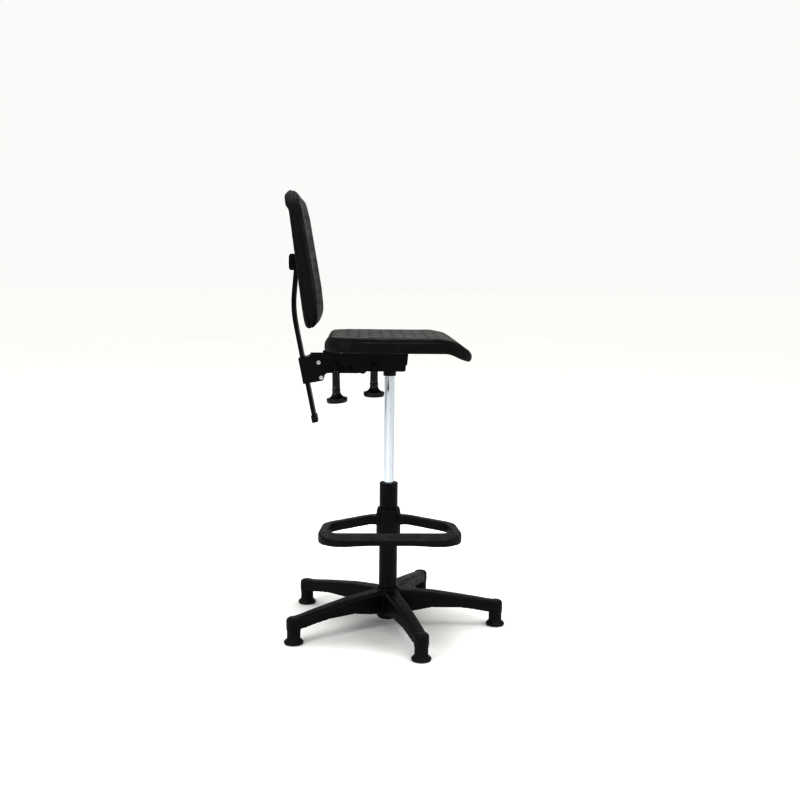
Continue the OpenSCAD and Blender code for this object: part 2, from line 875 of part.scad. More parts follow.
// Finger on the shaft that presses the gas spring's release pin
module gas_finger() {
    w = 8;
    color("#4d4f53")
        difference() {
            union() {
                cross_rod(10, [gas_lever_x, lever_z], -w / 2, w / 2);
                cross_rod(finger_nose_r, finger_nose, -w / 2, w / 2);
                side_plate(-w / 2, w / 2)
                    polygon([
                        [gas_lever_x - 9, lever_z + 4],
                        [gas_lever_x + 1, finger_nose[1] - 4],
                        [finger_nose[0] - 1, finger_nose[1] + finger_nose_r - 0.3],
                        [finger_nose[0], finger_nose[1] - finger_nose_r + 0.3],
                        [finger_nose[0] - 20, finger_nose[1] - 6],
                        [gas_lever_x + 9, lever_z + 3],
                        [gas_lever_x + 4, lever_z - 5]
                    ]);
            }
            cross_rod(lever_r + fix_fit, [gas_lever_x, lever_z], -w, w);
        }
}

module gas_handle() {
    color("#19191b")
        lever_handle(gas_lever_x, 0, gas_handle_l, handle_flare_d);
}

module gas_clip() {
    lever_clip(gas_lever_x);
}

// Cam that spreads the ends of the brake band
module lock_cam() {
    w = band_w - 4;
    color("#55575b")
        translate([lock_lever_x, w / 2, lever_z])
            rotate([90, 0, 0])
                rotate([0, 0, lock_aim])
                    difference() {
                        cylinder(r = cam_r, h = w, $fn = ROUND);
                        translate([0, 0, -1])
                            cylinder(r = lever_r + fix_fit, h = w + 2, $fn = ROUND);
                    }
}

module lock_handle() {
    color("#19191b")
        lever_handle(lock_lever_x, lock_tilt, lock_handle_l, handle_flare_d);
}

module lock_clip() {
    lever_clip(lock_lever_x);
}

// ---------- back ----------

// Welded part that swings on the pivot bolt: two side plates on a tube
module back_carrier() {
    clamp_x = clamp_mid[0];
    outline = rounded([
        [pivot[0] + 13.5, pivot[1] + 14, 13],
        [pivot[0] + 1, pivot[1] + 35, 5],
        [clamp_x + 12, pivot[1] + 35, 0],
        [clamp_x + 12, pivot[1] - 42, 0],
        [pivot[0] - 42, pivot[1] - 43, 4],
        [pivot[0] - 24, pivot[1] - 34, 6],
        [pivot[0] - 6, pivot[1] - 16, 12],
        [pivot[0] + 13.5, pivot[1] - 11, 11]
    ], 4);
    color("#161618")
        difference() {
            union() {
                for (s = [-1, 1])
                    side_plate(s > 0 ? plate_gap : -plate_gap - carrier_t, s > 0 ? plate_gap + carrier_t : -plate_gap)
                        polygon(outline);
                cross_rod(carrier_tube_r, pivot, -plate_gap - 0.5, plate_gap + 0.5);
            }
            cross_rod(pivot_r + run_fit, pivot, -tray_w, tray_w);
            for (p = clamp_pin_at)
                cross_rod(clamp_pin_r + fix_fit, p, -tray_w, tray_w);
            in_clamp()
                translate([-clamp_rear - 20, -tray_w / 2, -clamp_h])
                    cube([clamp_rear + 20 + clamp_front + fix_fit, tray_w, 2 * clamp_h]);
        }
}

// Cast block around the bar, with a lug between the carrier's plates
module bar_clamp() {
    color("#17171a")
        difference() {
            union() {
                in_clamp()
                    translate([-clamp_rear, -clamp_w / 2, -clamp_h / 2])
                        cube([clamp_rear + clamp_front, clamp_w, clamp_h]);
                side_plate(fix_fit - plate_gap, plate_gap - fix_fit)
                    polygon(rounded([
                        [clamp_mid[0] + 8, pivot[1] + 29, 0],
                        [pivot[0] - 19, pivot[1] + 27, 6],
                        [pivot[0] - 18.5, pivot[1] + 4, 4],
                        [pivot[0] - 31, pivot[1] - 8, 8],
                        [pivot[0] - 12, pivot[1] - 20, 8],
                        [pivot[0] - 14, pivot[1] - 36, 5],
                        [clamp_mid[0] + 16, pivot[1] - 42, 0]
                    ], 4));
            }
            in_clamp()
                translate([-bar_t / 2 - wear_t, -bar_w / 2 - 0.5, -clamp_h])
                    cube([bar_t + 2 * wear_t, bar_w + 1, 2 * clamp_h]);
            in_clamp()
                translate([bar_t / 2 + wear_t - 1, -14, -16])
                    cube([leaf_room + 1, 28, 32]);
            for (p = clamp_pin_at)
                cross_rod(clamp_pin_r + fix_fit, p, -tray_w, tray_w);
        }
}

module clamp_pins() {
    pin_end = plate_gap + carrier_t;
    color("#c9cccf")
        for (p = clamp_pin_at) {
            cross_rod(clamp_pin_r, p, -pin_end - 2, pin_end + 2);
            cross_rod(clamp_pin_r + 1, p, -pin_end - 2.5, -pin_end - fix_fit);
            cross_rod(clamp_pin_r + 1, p, pin_end + fix_fit, pin_end + 2.5);
        }
}

// Two plastic pads between the bar and its clamp
module wear_pads() {
    gap = 0.06;
    color("#303134")
        in_clamp()
            for (s = [-1, 1])
                translate([s > 0 ? bar_t / 2 + gap : -bar_t / 2 - wear_t + fix_fit, -bar_w / 2, -clamp_h / 2])
                    cube([wear_t - gap - fix_fit, bar_w, clamp_h]);
}

// Bowed leaf that presses the front pad on the bar
module pressure_spring() {
    color("#7c7f83")
        in_clamp()
            translate([bar_t / 2 + wear_t, 0, 0])
                side_plate(-12, 12)
                    polygon(concat(
                        [for (z = [-14 : 4 : 14]) [leaf_room - 0.9 - (leaf_room - 1) * pow(cos(z * 6.2), 2), z]],
                        [for (z = [14 : -4 : -14]) [leaf_room - 0.1 - (leaf_room - 1) * pow(cos(z * 6.2), 2), z]]
                    ));
}

// Side view of the bar in its own frame: straight, bent, straight again
module bar_outline(extra = 0) {
    steps = 8;
    half = bar_t / 2 + extra;
    top = bar_bend_end + bar_up * (pivot_up + bar_over_pivot);
    bend = [for (i = [1 : steps]) bar_turn * i / steps];
    polygon(concat(
        [[half, bar_low], [half, bar_bend_at]],
        [for (a = bend) bend_point(a, half)],
        [top + bar_across * half, top - bar_across * half],
        [for (i = [steps - 1 : -1 : 0]) bend_point(bend[i], -half)],
        [[-half, bar_bend_at], [-half, bar_low]]
    ));
}

// A point of the bend, off the bar's middle line by side
function bend_point(a, side) = [
    bar_bend_r - (bar_bend_r - side) * cos(a),
    bar_bend_at + (bar_bend_r - side) * sin(a)
];

module back_bar() {
    color("#1a1a1d")
        difference() {
            in_clamp()
                side_plate(-bar_w / 2, bar_w / 2)
                    bar_outline();
            for (y = [-12, 12])
                bracket_screw_hole(y);
        }
}

module bracket_screw_hole(y) {
    translate([back_pivot[0], y, back_pivot[1] - 12])
        rotate([0, 90, 0])
            translate([0, 0, -30])
                cylinder(r = 2.6, h = 60, $fn = ROUND);
}

// Stop that keeps the bar from leaving its clamp
module bar_stop() {
    color("#202124")
        in_clamp()
            difference() {
                translate([-bar_t / 2 - 2.5, -bar_w / 2 - 2.5, bar_low - 2])
                    cube([bar_t + 5, bar_w + 5, 18]);
                translate([-bar_t / 2 - fix_fit, -bar_w / 2 - fix_fit, bar_low])
                    cube([bar_t + 2 * fix_fit, bar_w + 2 * fix_fit, 20]);
            }
}

// Housing at the top of the bar that holds the backrest's hinge pin
module bar_bracket() {
    color("#1c1c1f")
        difference() {
            side_plate(-lug_y + free_gap, lug_y - free_gap)
                polygon(rounded([
                    [back_pivot[0] + 9, back_pivot[1] - 21, 2],
                    [back_pivot[0] - 7, back_pivot[1] - 22, 3],
                    [back_pivot[0] - 10, back_pivot[1] - 15, 4],
                    [back_pivot[0] - 10, back_pivot[1] + 14, 4],
                    [back_pivot[0] - 7, back_pivot[1] + 21, 3],
                    [back_pivot[0] + 6, back_pivot[1] + 21, 2]
                ], 4));
            in_clamp()
                side_plate(-bar_w / 2 - fix_fit, bar_w / 2 + fix_fit)
                    bar_outline(fix_fit);
            cross_rod(pivot_pin_r + run_fit, back_pivot, -50, 50);
            for (y = [-12, 12])
                bracket_screw_hole(y);
        }
}

module hinge_pin() {
    color("#b7babd") {
        cross_rod(pivot_pin_r, back_pivot, -lug_y - lug_t - 3, lug_y + lug_t + 3);
        cross_rod(6.5, back_pivot, -lug_y - lug_t - 4, -lug_y - lug_t - fix_fit);
        cross_rod(6.5, back_pivot, lug_y + lug_t + fix_fit, lug_y + lug_t + 4);
    }
}

// Puts children in the backrest's own frame: Z along its rear face, origin on that face
module in_back() {
    translate([back_rear_x, 0, back_pivot[1]])
        rotate([0, -back_lean, 0])
            children();
}

// Steel plate in the backrest with two lugs round the hinge pin
module back_plate() {
    color("#3f4145")
        difference() {
            union() {
                in_back()
                    translate([-0.2, -back_plate_half[0], -back_plate_half[1]])
                        cube([back_plate_t, 2 * back_plate_half[0], 2 * back_plate_half[1]]);
                for (s = [-1, 1])
                    side_plate(s > 0 ? lug_y : -lug_y - lug_t, s > 0 ? lug_y + lug_t : -lug_y)
                        polygon(rounded([
                            [back_pivot[0] - 10, back_pivot[1] - 10, 8],
                            [back_pivot[0] - 10, back_pivot[1] + 10, 8],
                            [back_rear_x - 0.5, back_pivot[1] + 20, 0],
                            [back_rear_x + 2, back_pivot[1] - 20, 0]
                        ], 4));
            }
            cross_rod(pivot_pin_r + fix_fit, back_pivot, -50, 50);
            back_screw_rods(2.5 + fix_fit);
        }
}

module at_back_screws() {
    in_back()
        for (y = [10 - back_plate_half[0], back_plate_half[0] - 10])
            for (z = [12 - back_plate_half[1], back_plate_half[1] - 12])
                translate([0, y, z])
                    rotate([0, 90, 0])
                        children();
}

module back_screw_rods(r) {
    at_back_screws()
        rod(r, -1, 9);
}

module back_screws() {
    color("#8f9296") {
        back_screw_rods(2.5);
        at_back_screws()
            rod(3, -2.4, -0.2 - fix_fit, 4.8);
    }
}

// Side view of the backrest in its own frame, with the lip that rolls back at the top
function back_side() =
    let (low = back_low, top = back_low + back_h)
    rounded([
        [0, low, 12],
        [0, top - 50, 10],
        [-back_lip, top - 42, 8],
        [-back_lip, top - 14, 12],
        [6, top, 10],
        [back_t - 9, top - 6, 14],
        [back_t - 4, top - 60, 200],
        [back_t + 4, low + 90, 200],
        [back_t + 3, low + 26, 20],
        [back_t - 10, low + 2, 12]
    ], 6);

// Plan of the backrest: flat behind, hollow in front
module back_plan() {
    steps = 16;
    half = back_w / 2;
    polygon(concat(
        [[-20, -half], [-20, half], [back_t + 6, half]],
        [for (i = [1 : steps - 1])
            let (y = half * (1 - 2 * i / steps), k = y / half)
            [back_t + 6 - (back_hollow + 4) * (1 - k * k), y]],
        [[back_t + 6, -half]]
    ));
}

module back_pad() {
    color("#2a2a2e")
        difference() {
            in_back()
                intersection() {
                    side_plate(-back_w / 2, back_w / 2)
                        polygon(back_side());
                    translate([0, 0, -400])
                        linear_extrude(height = 800)
                            back_plan();
                    rotate([90, 0, 90])
                        translate([0, 0, -40])
                            linear_extrude(height = 120)
                                polygon(rounded([
                                    [-back_w / 2, back_low, 70],
                                    [back_w / 2, back_low, 70],
                                    [back_w / 2, back_low + back_h, 60],
                                    [-back_w / 2, back_low + back_h, 60]
                                ], 8));
                }
            in_back()
                translate([-1, -back_plate_half[0] - fix_fit, -back_plate_half[1] - fix_fit])
                    cube([back_plate_t + 0.8 + fix_fit, 2 * (back_plate_half[0] + fix_fit),
                        2 * (back_plate_half[1] + fix_fit)]);
            back_screw_rods(2.5 + fix_fit);
        }
}

// ---------- foot ring ----------

module ring_bush() {
    color("#3a3b3e")
        rotate([0, 0, ring_turn])
            union() {
                tube(tube_r + bush_wall, tube_r + run_fit, ring_hub_low, ring_hub_z);
                tube(ring_hub_r - 3, tube_r + run_fit, ring_hub_z, ring_hub_z + bush_lip);
                tube(ring_hub_r - 3, tube_r + run_fit, ring_hub_low - bush_lip, ring_hub_low);
            }
}

// Plan of the ring seen from above: forward is +X
module ring_outside() {
    polygon(rounded([
        [ring_reach, ring_half, ring_corner],
        [ring_reach, -ring_half, ring_corner],
        [66, ring_draw - ring_half, 45],
        [-10, -52, 12],
        [-20, 0, 12],
        [-10, 52, 12],
        [66, ring_half - ring_draw, 45]
    ], 20));
}

module ring_inside() {
    polygon(rounded([
        [ring_reach - tread_w, side_in, 34],
        [ring_reach - tread_w, -side_in, 34],
        [82, ring_draw - side_in, 34],
        [18, -50, 14],
        [24, 0, 14],
        [18, 50, 14],
        [82, side_in - ring_draw, 34]
    ], 14));
}

module ring_body() {
    hub_top = ring_hub_z - 18;
    intersection() {
        linear_extrude(height = ring_hub_z)
            difference() {
                ring_outside();
                ring_inside();
            }
        // falls from the hub to the sides
        rotate([90, 0, 90])
            translate([0, 0, -60])
                linear_extrude(height = ring_reach + 100)
                    polygon([
                        [0, hub_top], [60, hub_top - 1], [ring_half, tread_back_z - 1],
                        [ring_half, tread_front_z - ring_bar_h + 1], [60, hub_top - ring_bar_h - 4],
                        [-60, hub_top - ring_bar_h - 4], [-ring_half, tread_front_z - ring_bar_h + 1],
                        [-ring_half, tread_back_z - 1], [-60, hub_top - 1]
                    ]);
        // the tread slopes down to the front
        side_plate(-ring_half, ring_half)
            polygon([
                [-60, 200], [-60, ring_hub_z], [ring_reach - tread_w - 40, ring_hub_z],
                [ring_reach - tread_w - 8, tread_back_z], [ring_reach, tread_front_z],
                [ring_reach, tread_front_z - ring_bar_h + 1], [ring_reach - 8, tread_front_z - ring_bar_h],
                [ring_reach - tread_w, 200]
            ]);
    }
}

module tread_shape(inset) {
    front = ring_reach - tread_rim - inset;
    side = ring_half - tread_rim - inset;
    round = ring_corner - tread_rim;
    intersection() {
        linear_extrude(height = ring_hub_z)
            intersection() {
                polygon(rounded([[front, side, round], [front, -side, round], [0, -side, 0], [0, side, 0]], 16));
                translate([ring_reach - tread_w + tread_rim + inset, -ring_half])
                    square([tread_w, ring_w]);
            }
        side_plate(-ring_half, ring_half)
            polygon([
                [ring_reach - tread_w, tread_back_z - tread_t], [ring_reach, tread_front_z - tread_t],
                [ring_reach, tread_front_z + 0.9], [ring_reach - tread_w, tread_back_z + 0.3]
            ]);
    }
}

module foot_ring() {
    color("#1c1c1f")
        rotate([0, 0, ring_turn])
            difference() {
                union() {
                    rod(ring_hub_r, ring_hub_low, ring_hub_z - 14);
                    rod(ring_hub_r, ring_hub_z - 14, ring_hub_z, ring_hub_r - 2);
                    ring_body();
                    // boss for the clamping screw, at the back
                    translate([0, 0, knob_z])
                        rotate([0, -90, 0])
                            rod(12, 0, ring_hub_r + 6);
                }
                rod(tube_r + bush_wall + run_fit, 0, 2 * ring_hub_z);
                translate([0, 0, knob_z])
                    rotate([0, -90, 0])
                        rod(knob_screw_r + run_fit, 0, ring_hub_r + 20);
                tread_shape(0);
            }
}

module tread_pad() {
    color("#2d2e30")
        rotate([0, 0, ring_turn])
            tread_shape(fix_fit);
}

module knob_screw() {
    color("#a9acb0")
        rotate([0, 0, ring_turn])
            translate([0, 0, knob_z])
                rotate([0, -90, 0])
                    rod(knob_screw_r, tube_r + bush_wall + free_gap, ring_hub_r + 24);
}

module ring_knob() {
    lobes = 6;
    near = ring_hub_r + 8;
    color("#1d1d20")
        rotate([0, 0, ring_turn])
            translate([0, 0, knob_z])
                rotate([0, -90, 0])
                    difference() {
                        union() {
                            rod(10, near, near + 8);
                            rod(knob_d / 2, near + 8, near + 22);
                            rod(knob_d / 2, near + 22, near + 25, knob_d / 2 - 4);
                        }
                        for (k = [0 : lobes - 1])
                            rotate([0, 0, (k + 0.5) * 360 / lobes])
                                translate([knob_d / 2 + 4, 0, 0])
                                    rod(8, near + 7, near + 26);
                        rod(knob_screw_r + fix_fit, near - 1, ring_hub_r + 24 + fix_fit);
                    }
}

// ---------- what is drawn ----------

base_star();
hub_sleeve();
outer_tube();
tube_guide();
race(race_z);  // lower_race
glide(0);  // glide_1
glide(1);  // glide_2
glide(2);  // glide_3
glide(3);  // glide_4
glide(4);  // glide_5
glide_pads();
ball_cage();
bearing_balls();
piston_rod();
piston();
race(bearing_top_z - race_t);  // upper_race
bump_stop();
rod_clip();
pressure_tube();
rod_guide();
valve_body();
release_pin();
taper_socket();
mech_tray();
mounting_plate();
seat_bolts();
tee_nuts();
seat_board();
seat_pad();
tilt_springs();
brake_band();
tray_bolts();
spring_rod();
pivot_bolt();
pivot_spacers();
gas_lever_rod();
gas_finger();
gas_handle();
gas_clip();
lock_lever_rod();
lock_cam();
lock_handle();
lock_clip();
back_carrier();
bar_clamp();
clamp_pins();
wear_pads();
pressure_spring();
back_bar();
bar_stop();
bar_bracket();
hinge_pin();
back_plate();
back_screws();
back_pad();
ring_bush();
foot_ring();
tread_pad();
knob_screw();
ring_knob();
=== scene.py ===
"""Looks of a height-adjustable swivel work stool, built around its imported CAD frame.

All lengths are in metres, in the frame of the CAD model: +X is the way the sitter faces, +Z is up.
"""

import json
import math

import bpy
import numpy as np
from mathutils import Matrix, Vector


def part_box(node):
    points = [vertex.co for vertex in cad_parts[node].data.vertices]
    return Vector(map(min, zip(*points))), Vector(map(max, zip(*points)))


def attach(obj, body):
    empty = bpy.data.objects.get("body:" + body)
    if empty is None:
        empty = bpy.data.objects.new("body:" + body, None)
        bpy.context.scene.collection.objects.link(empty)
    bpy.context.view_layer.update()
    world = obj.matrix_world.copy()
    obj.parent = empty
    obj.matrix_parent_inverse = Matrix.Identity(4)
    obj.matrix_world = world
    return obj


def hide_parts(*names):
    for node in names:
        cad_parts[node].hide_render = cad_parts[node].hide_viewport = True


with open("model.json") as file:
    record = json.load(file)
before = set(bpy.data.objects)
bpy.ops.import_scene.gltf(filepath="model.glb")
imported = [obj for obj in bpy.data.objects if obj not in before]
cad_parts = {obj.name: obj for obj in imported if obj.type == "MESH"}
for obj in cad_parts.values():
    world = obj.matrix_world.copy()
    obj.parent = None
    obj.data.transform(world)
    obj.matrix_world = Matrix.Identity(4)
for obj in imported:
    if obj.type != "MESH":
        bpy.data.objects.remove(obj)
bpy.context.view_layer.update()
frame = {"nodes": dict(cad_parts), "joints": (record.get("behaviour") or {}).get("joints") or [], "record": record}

JOINTS = {j["name"]: j for j in frame["joints"]}
SLOT_OF = {s["node"]: s["material_slot"] for s in frame["record"]["subparts"]}
SCENE = bpy.context.scene
MM = 0.001
WELD = 1e-6                  # points of a CAD mesh closer than this are one


# ---------- measures taken from the frame ----------

def middle(node):
    """Middle of a CAD node's box."""
    low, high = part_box(node)
    return (low + high) / 2


def size(node):
    low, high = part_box(node)
    return high - low


def joint_at(name):
    return Vector(JOINTS[name]["pos_m"])


# ---------- shapes ----------

def mesh_piece(name, vertices, faces):
    """A new object from a list of points and faces."""
    mesh = bpy.data.meshes.new(name)
    mesh.from_pydata([tuple(v) for v in vertices], [], faces)
    mesh.validate()
    mesh.shade_smooth()
    piece = bpy.data.objects.new(name, mesh)
    SCENE.collection.objects.link(piece)
    return piece


def merged(parts):
    """Several (points, faces) as one."""
    vertices, faces = [], []
    for v, f in parts:
        start = len(vertices)
        vertices += list(v)
        faces += [[i + start for i in face] for face in f]
    return vertices, faces


def moved(part, matrix):
    vertices, faces = part
    return [matrix @ Vector(v) for v in vertices], faces


def loft(rings, closed=False):
    """Quads between rings. A closed loft joins its last ring to its first, an open one gets end faces."""
    n = len(rings[0])
    vertices = [p for ring in rings for p in ring]
    faces = []
    for i in range(len(rings) if closed else len(rings) - 1):
        a, b = i * n, (i + 1) % len(rings) * n
        faces += [[a + k, a + (k + 1) % n, b + (k + 1) % n, b + k] for k in range(n)]
    if not closed:
        faces += [list(range(n))[::-1], [len(vertices) - n + k for k in range(n)]]
    return vertices, faces


def lathe(profile, steps=96, radius=lambda r, z, a: r):
    """A closed (r, z) profile turned about Z. A profile that starts or ends on the axis is closed there."""
    rings = []
    for i in range(steps):
        a = 2 * math.pi * i / steps
        rings.append([(radius(r, z, a) * math.cos(a), radius(r, z, a) * math.sin(a), z) for r, z in profile])
    return loft(rings, closed=True)


def softened(points, n=5):
    """A closed outline of (x, y, corner radius), with its corners rounded."""
    out = []
    for i, (x, y, r) in enumerate(points):
        here = Vector((x, y))
        if r <= 0:
            out.append(tuple(here))
            continue
        before = (Vector(points[i - 1][:2]) - here).normalized()
        after = (Vector(points[(i + 1) % len(points)][:2]) - here).normalized()
        half = before.angle(after) / 2
        centre = here + (before + after).normalized() * (r / math.sin(half))
        p = here + before * (r / math.tan(half)) - centre
        q = here + after * (r / math.tan(half)) - centre
        turn = p.angle_signed(q)
        for k in range(n + 1):
            c, s = math.cos(-turn * k / n), math.sin(-turn * k / n)
            out.append((centre.x + p.x * c - p.y * s, centre.y + p.x * s + p.y * c))
    return out


def slab(outline, low, high, edge, steps=3):
    """An XY outline given thickness, with its upper and lower edges rounded."""
    points = np.array(outline)
    following, previous = np.roll(points, -1, 0), np.roll(points, 1, 0)
    along = following - previous
    inward = np.stack([-along[:, 1], along[:, 0]], 1) / np.linalg.norm(along, axis=1)[:, None]
    rings = []
    for k in range(steps + 1):
        a = math.pi / 2 * k / steps
        rings.append((edge * (1 - math.sin(a)), low + edge * (1 - math.cos(a))))
    rings += [(inset, low + high - z) for inset, z in reversed(rings)]
    return loft([[(x, y, z) for x, y in points + inward * inset] for inset, z in rings])


def applied(piece):
    """Makes what the piece's modifiers show its own mesh."""
    bpy.context.view_layer.update()
    seen = piece.evaluated_get(bpy.context.evaluated_depsgraph_get())
    mesh = bpy.data.meshes.new_from_object(seen)
    piece.modifiers.clear()
    old, piece.data = piece.data, mesh
    bpy.data.meshes.remove(old)
    mesh.shade_smooth()
    return piece


def fused(piece, voxel, rounds):
    """One skin round all that the piece holds, with its edges rounded as a moulding's are."""
    remesh = piece.modifiers.new("fuse", "REMESH")
    remesh.mode = "VOXEL"
    remesh.voxel_size = voxel
    smooth = piece.modifiers.new("round", "SMOOTH")
    smooth.factor = 0.5
    smooth.iterations = rounds
    return applied(piece)


def copy_of(node, name):
    """A new piece with the mesh of a CAD node, in one skin."""
    mesh = frame["nodes"][node].data.copy()
    mesh.name = name
    mesh.materials.clear()
    piece = bpy.data.objects.new(name, mesh)
    SCENE.collection.objects.link(piece)
    weld = piece.modifiers.new("weld", "WELD")
    weld.merge_threshold = WELD
    return applied(piece)


def points_of(piece):
    co = np.zeros(len(piece.data.vertices) * 3, np.float32)
    piece.data.vertices.foreach_get("co", co)
    return co.reshape(-1, 3).astype(float)


def normals_of(piece):
    normals = np.zeros(len(piece.data.vertices) * 3, np.float32)
    piece.data.vertices.foreach_get("normal", normals)
    return normals.reshape(-1, 3).astype(float)


def put_points(piece, co):
    piece.data.vertices.foreach_set("co", co.astype(np.float32).ravel())
    piece.data.update()


# ---------- materials ----------

class Shade:
    """A material's nodes, with short calls that add them and join them up."""

    def __init__(self, name):
        self.material = bpy.data.materials.new(name)
        self.material.use_nodes = True
        self.tree = self.material.node_tree
        self.shader = self.tree.nodes["Principled BSDF"]
        self.place = self.node("ShaderNodeTexCoord").outputs["Object"]
        self.slope = None

    def node(self, kind, inputs=None, **settings):
        made = self.tree.nodes.new(kind)
        for key, value in settings.items():
            setattr(made, key, value)
        for key, value in (inputs or {}).items():
            self.put(made.inputs[key], value)
        return made

    def put(self, socket, value):
        if isinstance(value, bpy.types.NodeSocket):
            self.tree.links.new(value, socket)
        else:
            socket.default_value = value

    def constant(self, **values):
        """Numbers that are the same all over, on the shader's own sockets."""
        for key, value in values.items():
            self.shader.inputs[key.replace("_", " ")].default_value = value

    def stretched(self, stretch):
        return self.node("ShaderNodeMapping", {"Vector": self.place, "Scale": stretch}).outputs["Vector"]

    def noise(self, scale, detail=3.0, stretch=(1, 1, 1)):
        inputs = {"Vector": self.stretched(stretch), "Scale": scale, "Detail": detail}
        return self.node("ShaderNodeTexNoise", inputs).outputs["Fac"]

    def cells(self, scale, feature="F1"):
        inputs = {"Vector": self.place, "Scale": scale}
        return self.node("ShaderNodeTexVoronoi", inputs, feature=feature).outputs["Distance"]

    def span(self, value, low, high, to_low=0.0, to_high=1.0):
        """value, carried from low..high to to_low..to_high and held there."""
        inputs = {"Value": value, "From Min": low, "From Max": high, "To Min": to_low, "To Max": to_high}
        return self.node("ShaderNodeMapRange", inputs).outputs["Result"]

    def blend(self, share, first, second):
        """first where share is 0, second where it is 1."""
        made = self.node("ShaderNodeMix", data_type="RGBA")
        for socket, value in ((0, share), (6, rgba(first)), (7, rgba(second))):
            self.put(made.inputs[socket], value)
        return made.outputs[2]

    def math(self, operation, first, second):
        made = self.node("ShaderNodeMath", operation=operation)
        self.put(made.inputs[0], first)
        self.put(made.inputs[1], second)
        return made.outputs[0]

    def bump(self, height, distance, strength=1.0):
        inputs = {"Height": height, "Distance": distance, "Strength": strength}
        made = self.node("ShaderNodeBump", inputs)
        if self.slope is not None:
            self.put(made.inputs["Normal"], self.slope)
        self.slope = made.outputs["Normal"]
        self.put(self.shader.inputs["Normal"], self.slope)

    def up(self):
        """1 on a face that looks straight up, 0 on a wall."""
        normal = self.node("ShaderNodeNewGeometry").outputs["Normal"]
        z = self.node("ShaderNodeSeparateXYZ", {"Vector": normal}).outputs["Z"]
        return self.span(z, 0.3, 1.0)

    def ridge_mask(self, low=0.52, high=0.60):
        """1 on the ridges of a finely meshed piece, 0 elsewhere."""
        point = self.node("ShaderNodeNewGeometry").outputs["Pointiness"]
        return self.span(point, low, high)

    def colour(self, value):
        self.put(self.shader.inputs["Base Color"], value)

    def rough(self, value):
        self.put(self.shader.inputs["Roughness"], value)


def rgba(colour):
    return colour if isinstance(colour, bpy.types.NodeSocket) else (*colour, 1.0)


def moulded(name, dark, dusty, top_tint=0.5):
    """Black moulded plastic with an eroded grain, a little dust on what faces up, and rubbed edges."""
    s = Shade(name)
    clouds = s.noise(9, 5)
    tint = s.blend(s.span(clouds, 0.35, 0.7), dark, [1.7 * c for c in dark])
    settled = s.math("MULTIPLY", s.up(), s.span(s.noise(38, 6), 0.42, 0.72, 0, top_tint))
    tint = s.blend(settled, tint, dusty)
    s.colour(s.blend(s.span(s.ridge_mask(), 0, 1, 0, 0.35), tint, [0.035, 0.035, 0.036]))
    s.rough(s.span(s.noise(60, 6), 0.3, 0.7, 0.36, 0.54))
    s.constant(Specular_IOR_Level=0.3)
    s.bump(s.noise(1100, 3), 0.05 * MM, 0.7)
    s.bump(s.noise(22, 2), 0.25 * MM, 0.25)
    return s.material


def powder_coat(name, dark):
    """Black powder coat on steel: fine orange peel, a few pale specks and scuffs."""
    s = Shade(name)
    tint = s.blend(s.span(s.noise(14, 4), 0.35, 0.7), dark, [1.5 * c for c in dark])
    speck = s.span(s.cells(420), 0.05, 0.09, 0.25, 0)
    tint = s.blend(speck, tint, [0.03, 0.03, 0.032])
    s.colour(tint)
    scuff = s.span(s.noise(90, 6, (1, 1, 0.15)), 0.62, 0.75, 0, 0.16)
    s.rough(s.math("ADD", s.span(s.noise(45, 4), 0.3, 0.7, 0.3, 0.42), scuff))
    s.constant(Specular_IOR_Level=0.3)
    s.bump(s.noise(520, 2), 0.06 * MM, 0.6)
    s.bump(s.noise(70, 2), 0.1 * MM, 0.25)
    return s.material


def metal(name, pale, dark, rough):
    """Bare or plated metal: clouded tone and a fine unevenness."""
    s = Shade(name)
    s.colour(s.blend(s.span(s.noise(16, 5), 0.35, 0.68), pale, dark))
    uneven = s.noise(260, 4)
    s.rough(s.span(uneven, 0.3, 0.7, *rough))
    s.constant(Metallic=1.0)
    s.bump(uneven, 0.01 * MM, 0.5)
    return s.material


def chromed(name):
    """Chromed tube: pale grey, with streaks along it where it has run in its guide."""
    s = Shade(name)
    streaks = s.noise(110, 5, (1, 1, 0.012))
    film = s.noise(30, 5, (1, 1, 0.35))
    tint = s.blend(s.span(streaks, 0.36, 0.64), [0.80, 0.83, 0.85], [0.60, 0.63, 0.67])
    s.colour(s.blend(s.span(film, 0.4, 0.75, 0, 0.5), tint, [0.60, 0.63, 0.68]))
    s.rough(s.math("ADD", s.span(streaks, 0.35, 0.7, 0.14, 0.28), s.span(film, 0.4, 0.75, 0, 0.06)))
    s.constant(Metallic=1.0, Anisotropic=0.35)
    s.bump(streaks, 0.02 * MM, 0.3)
    return s.material


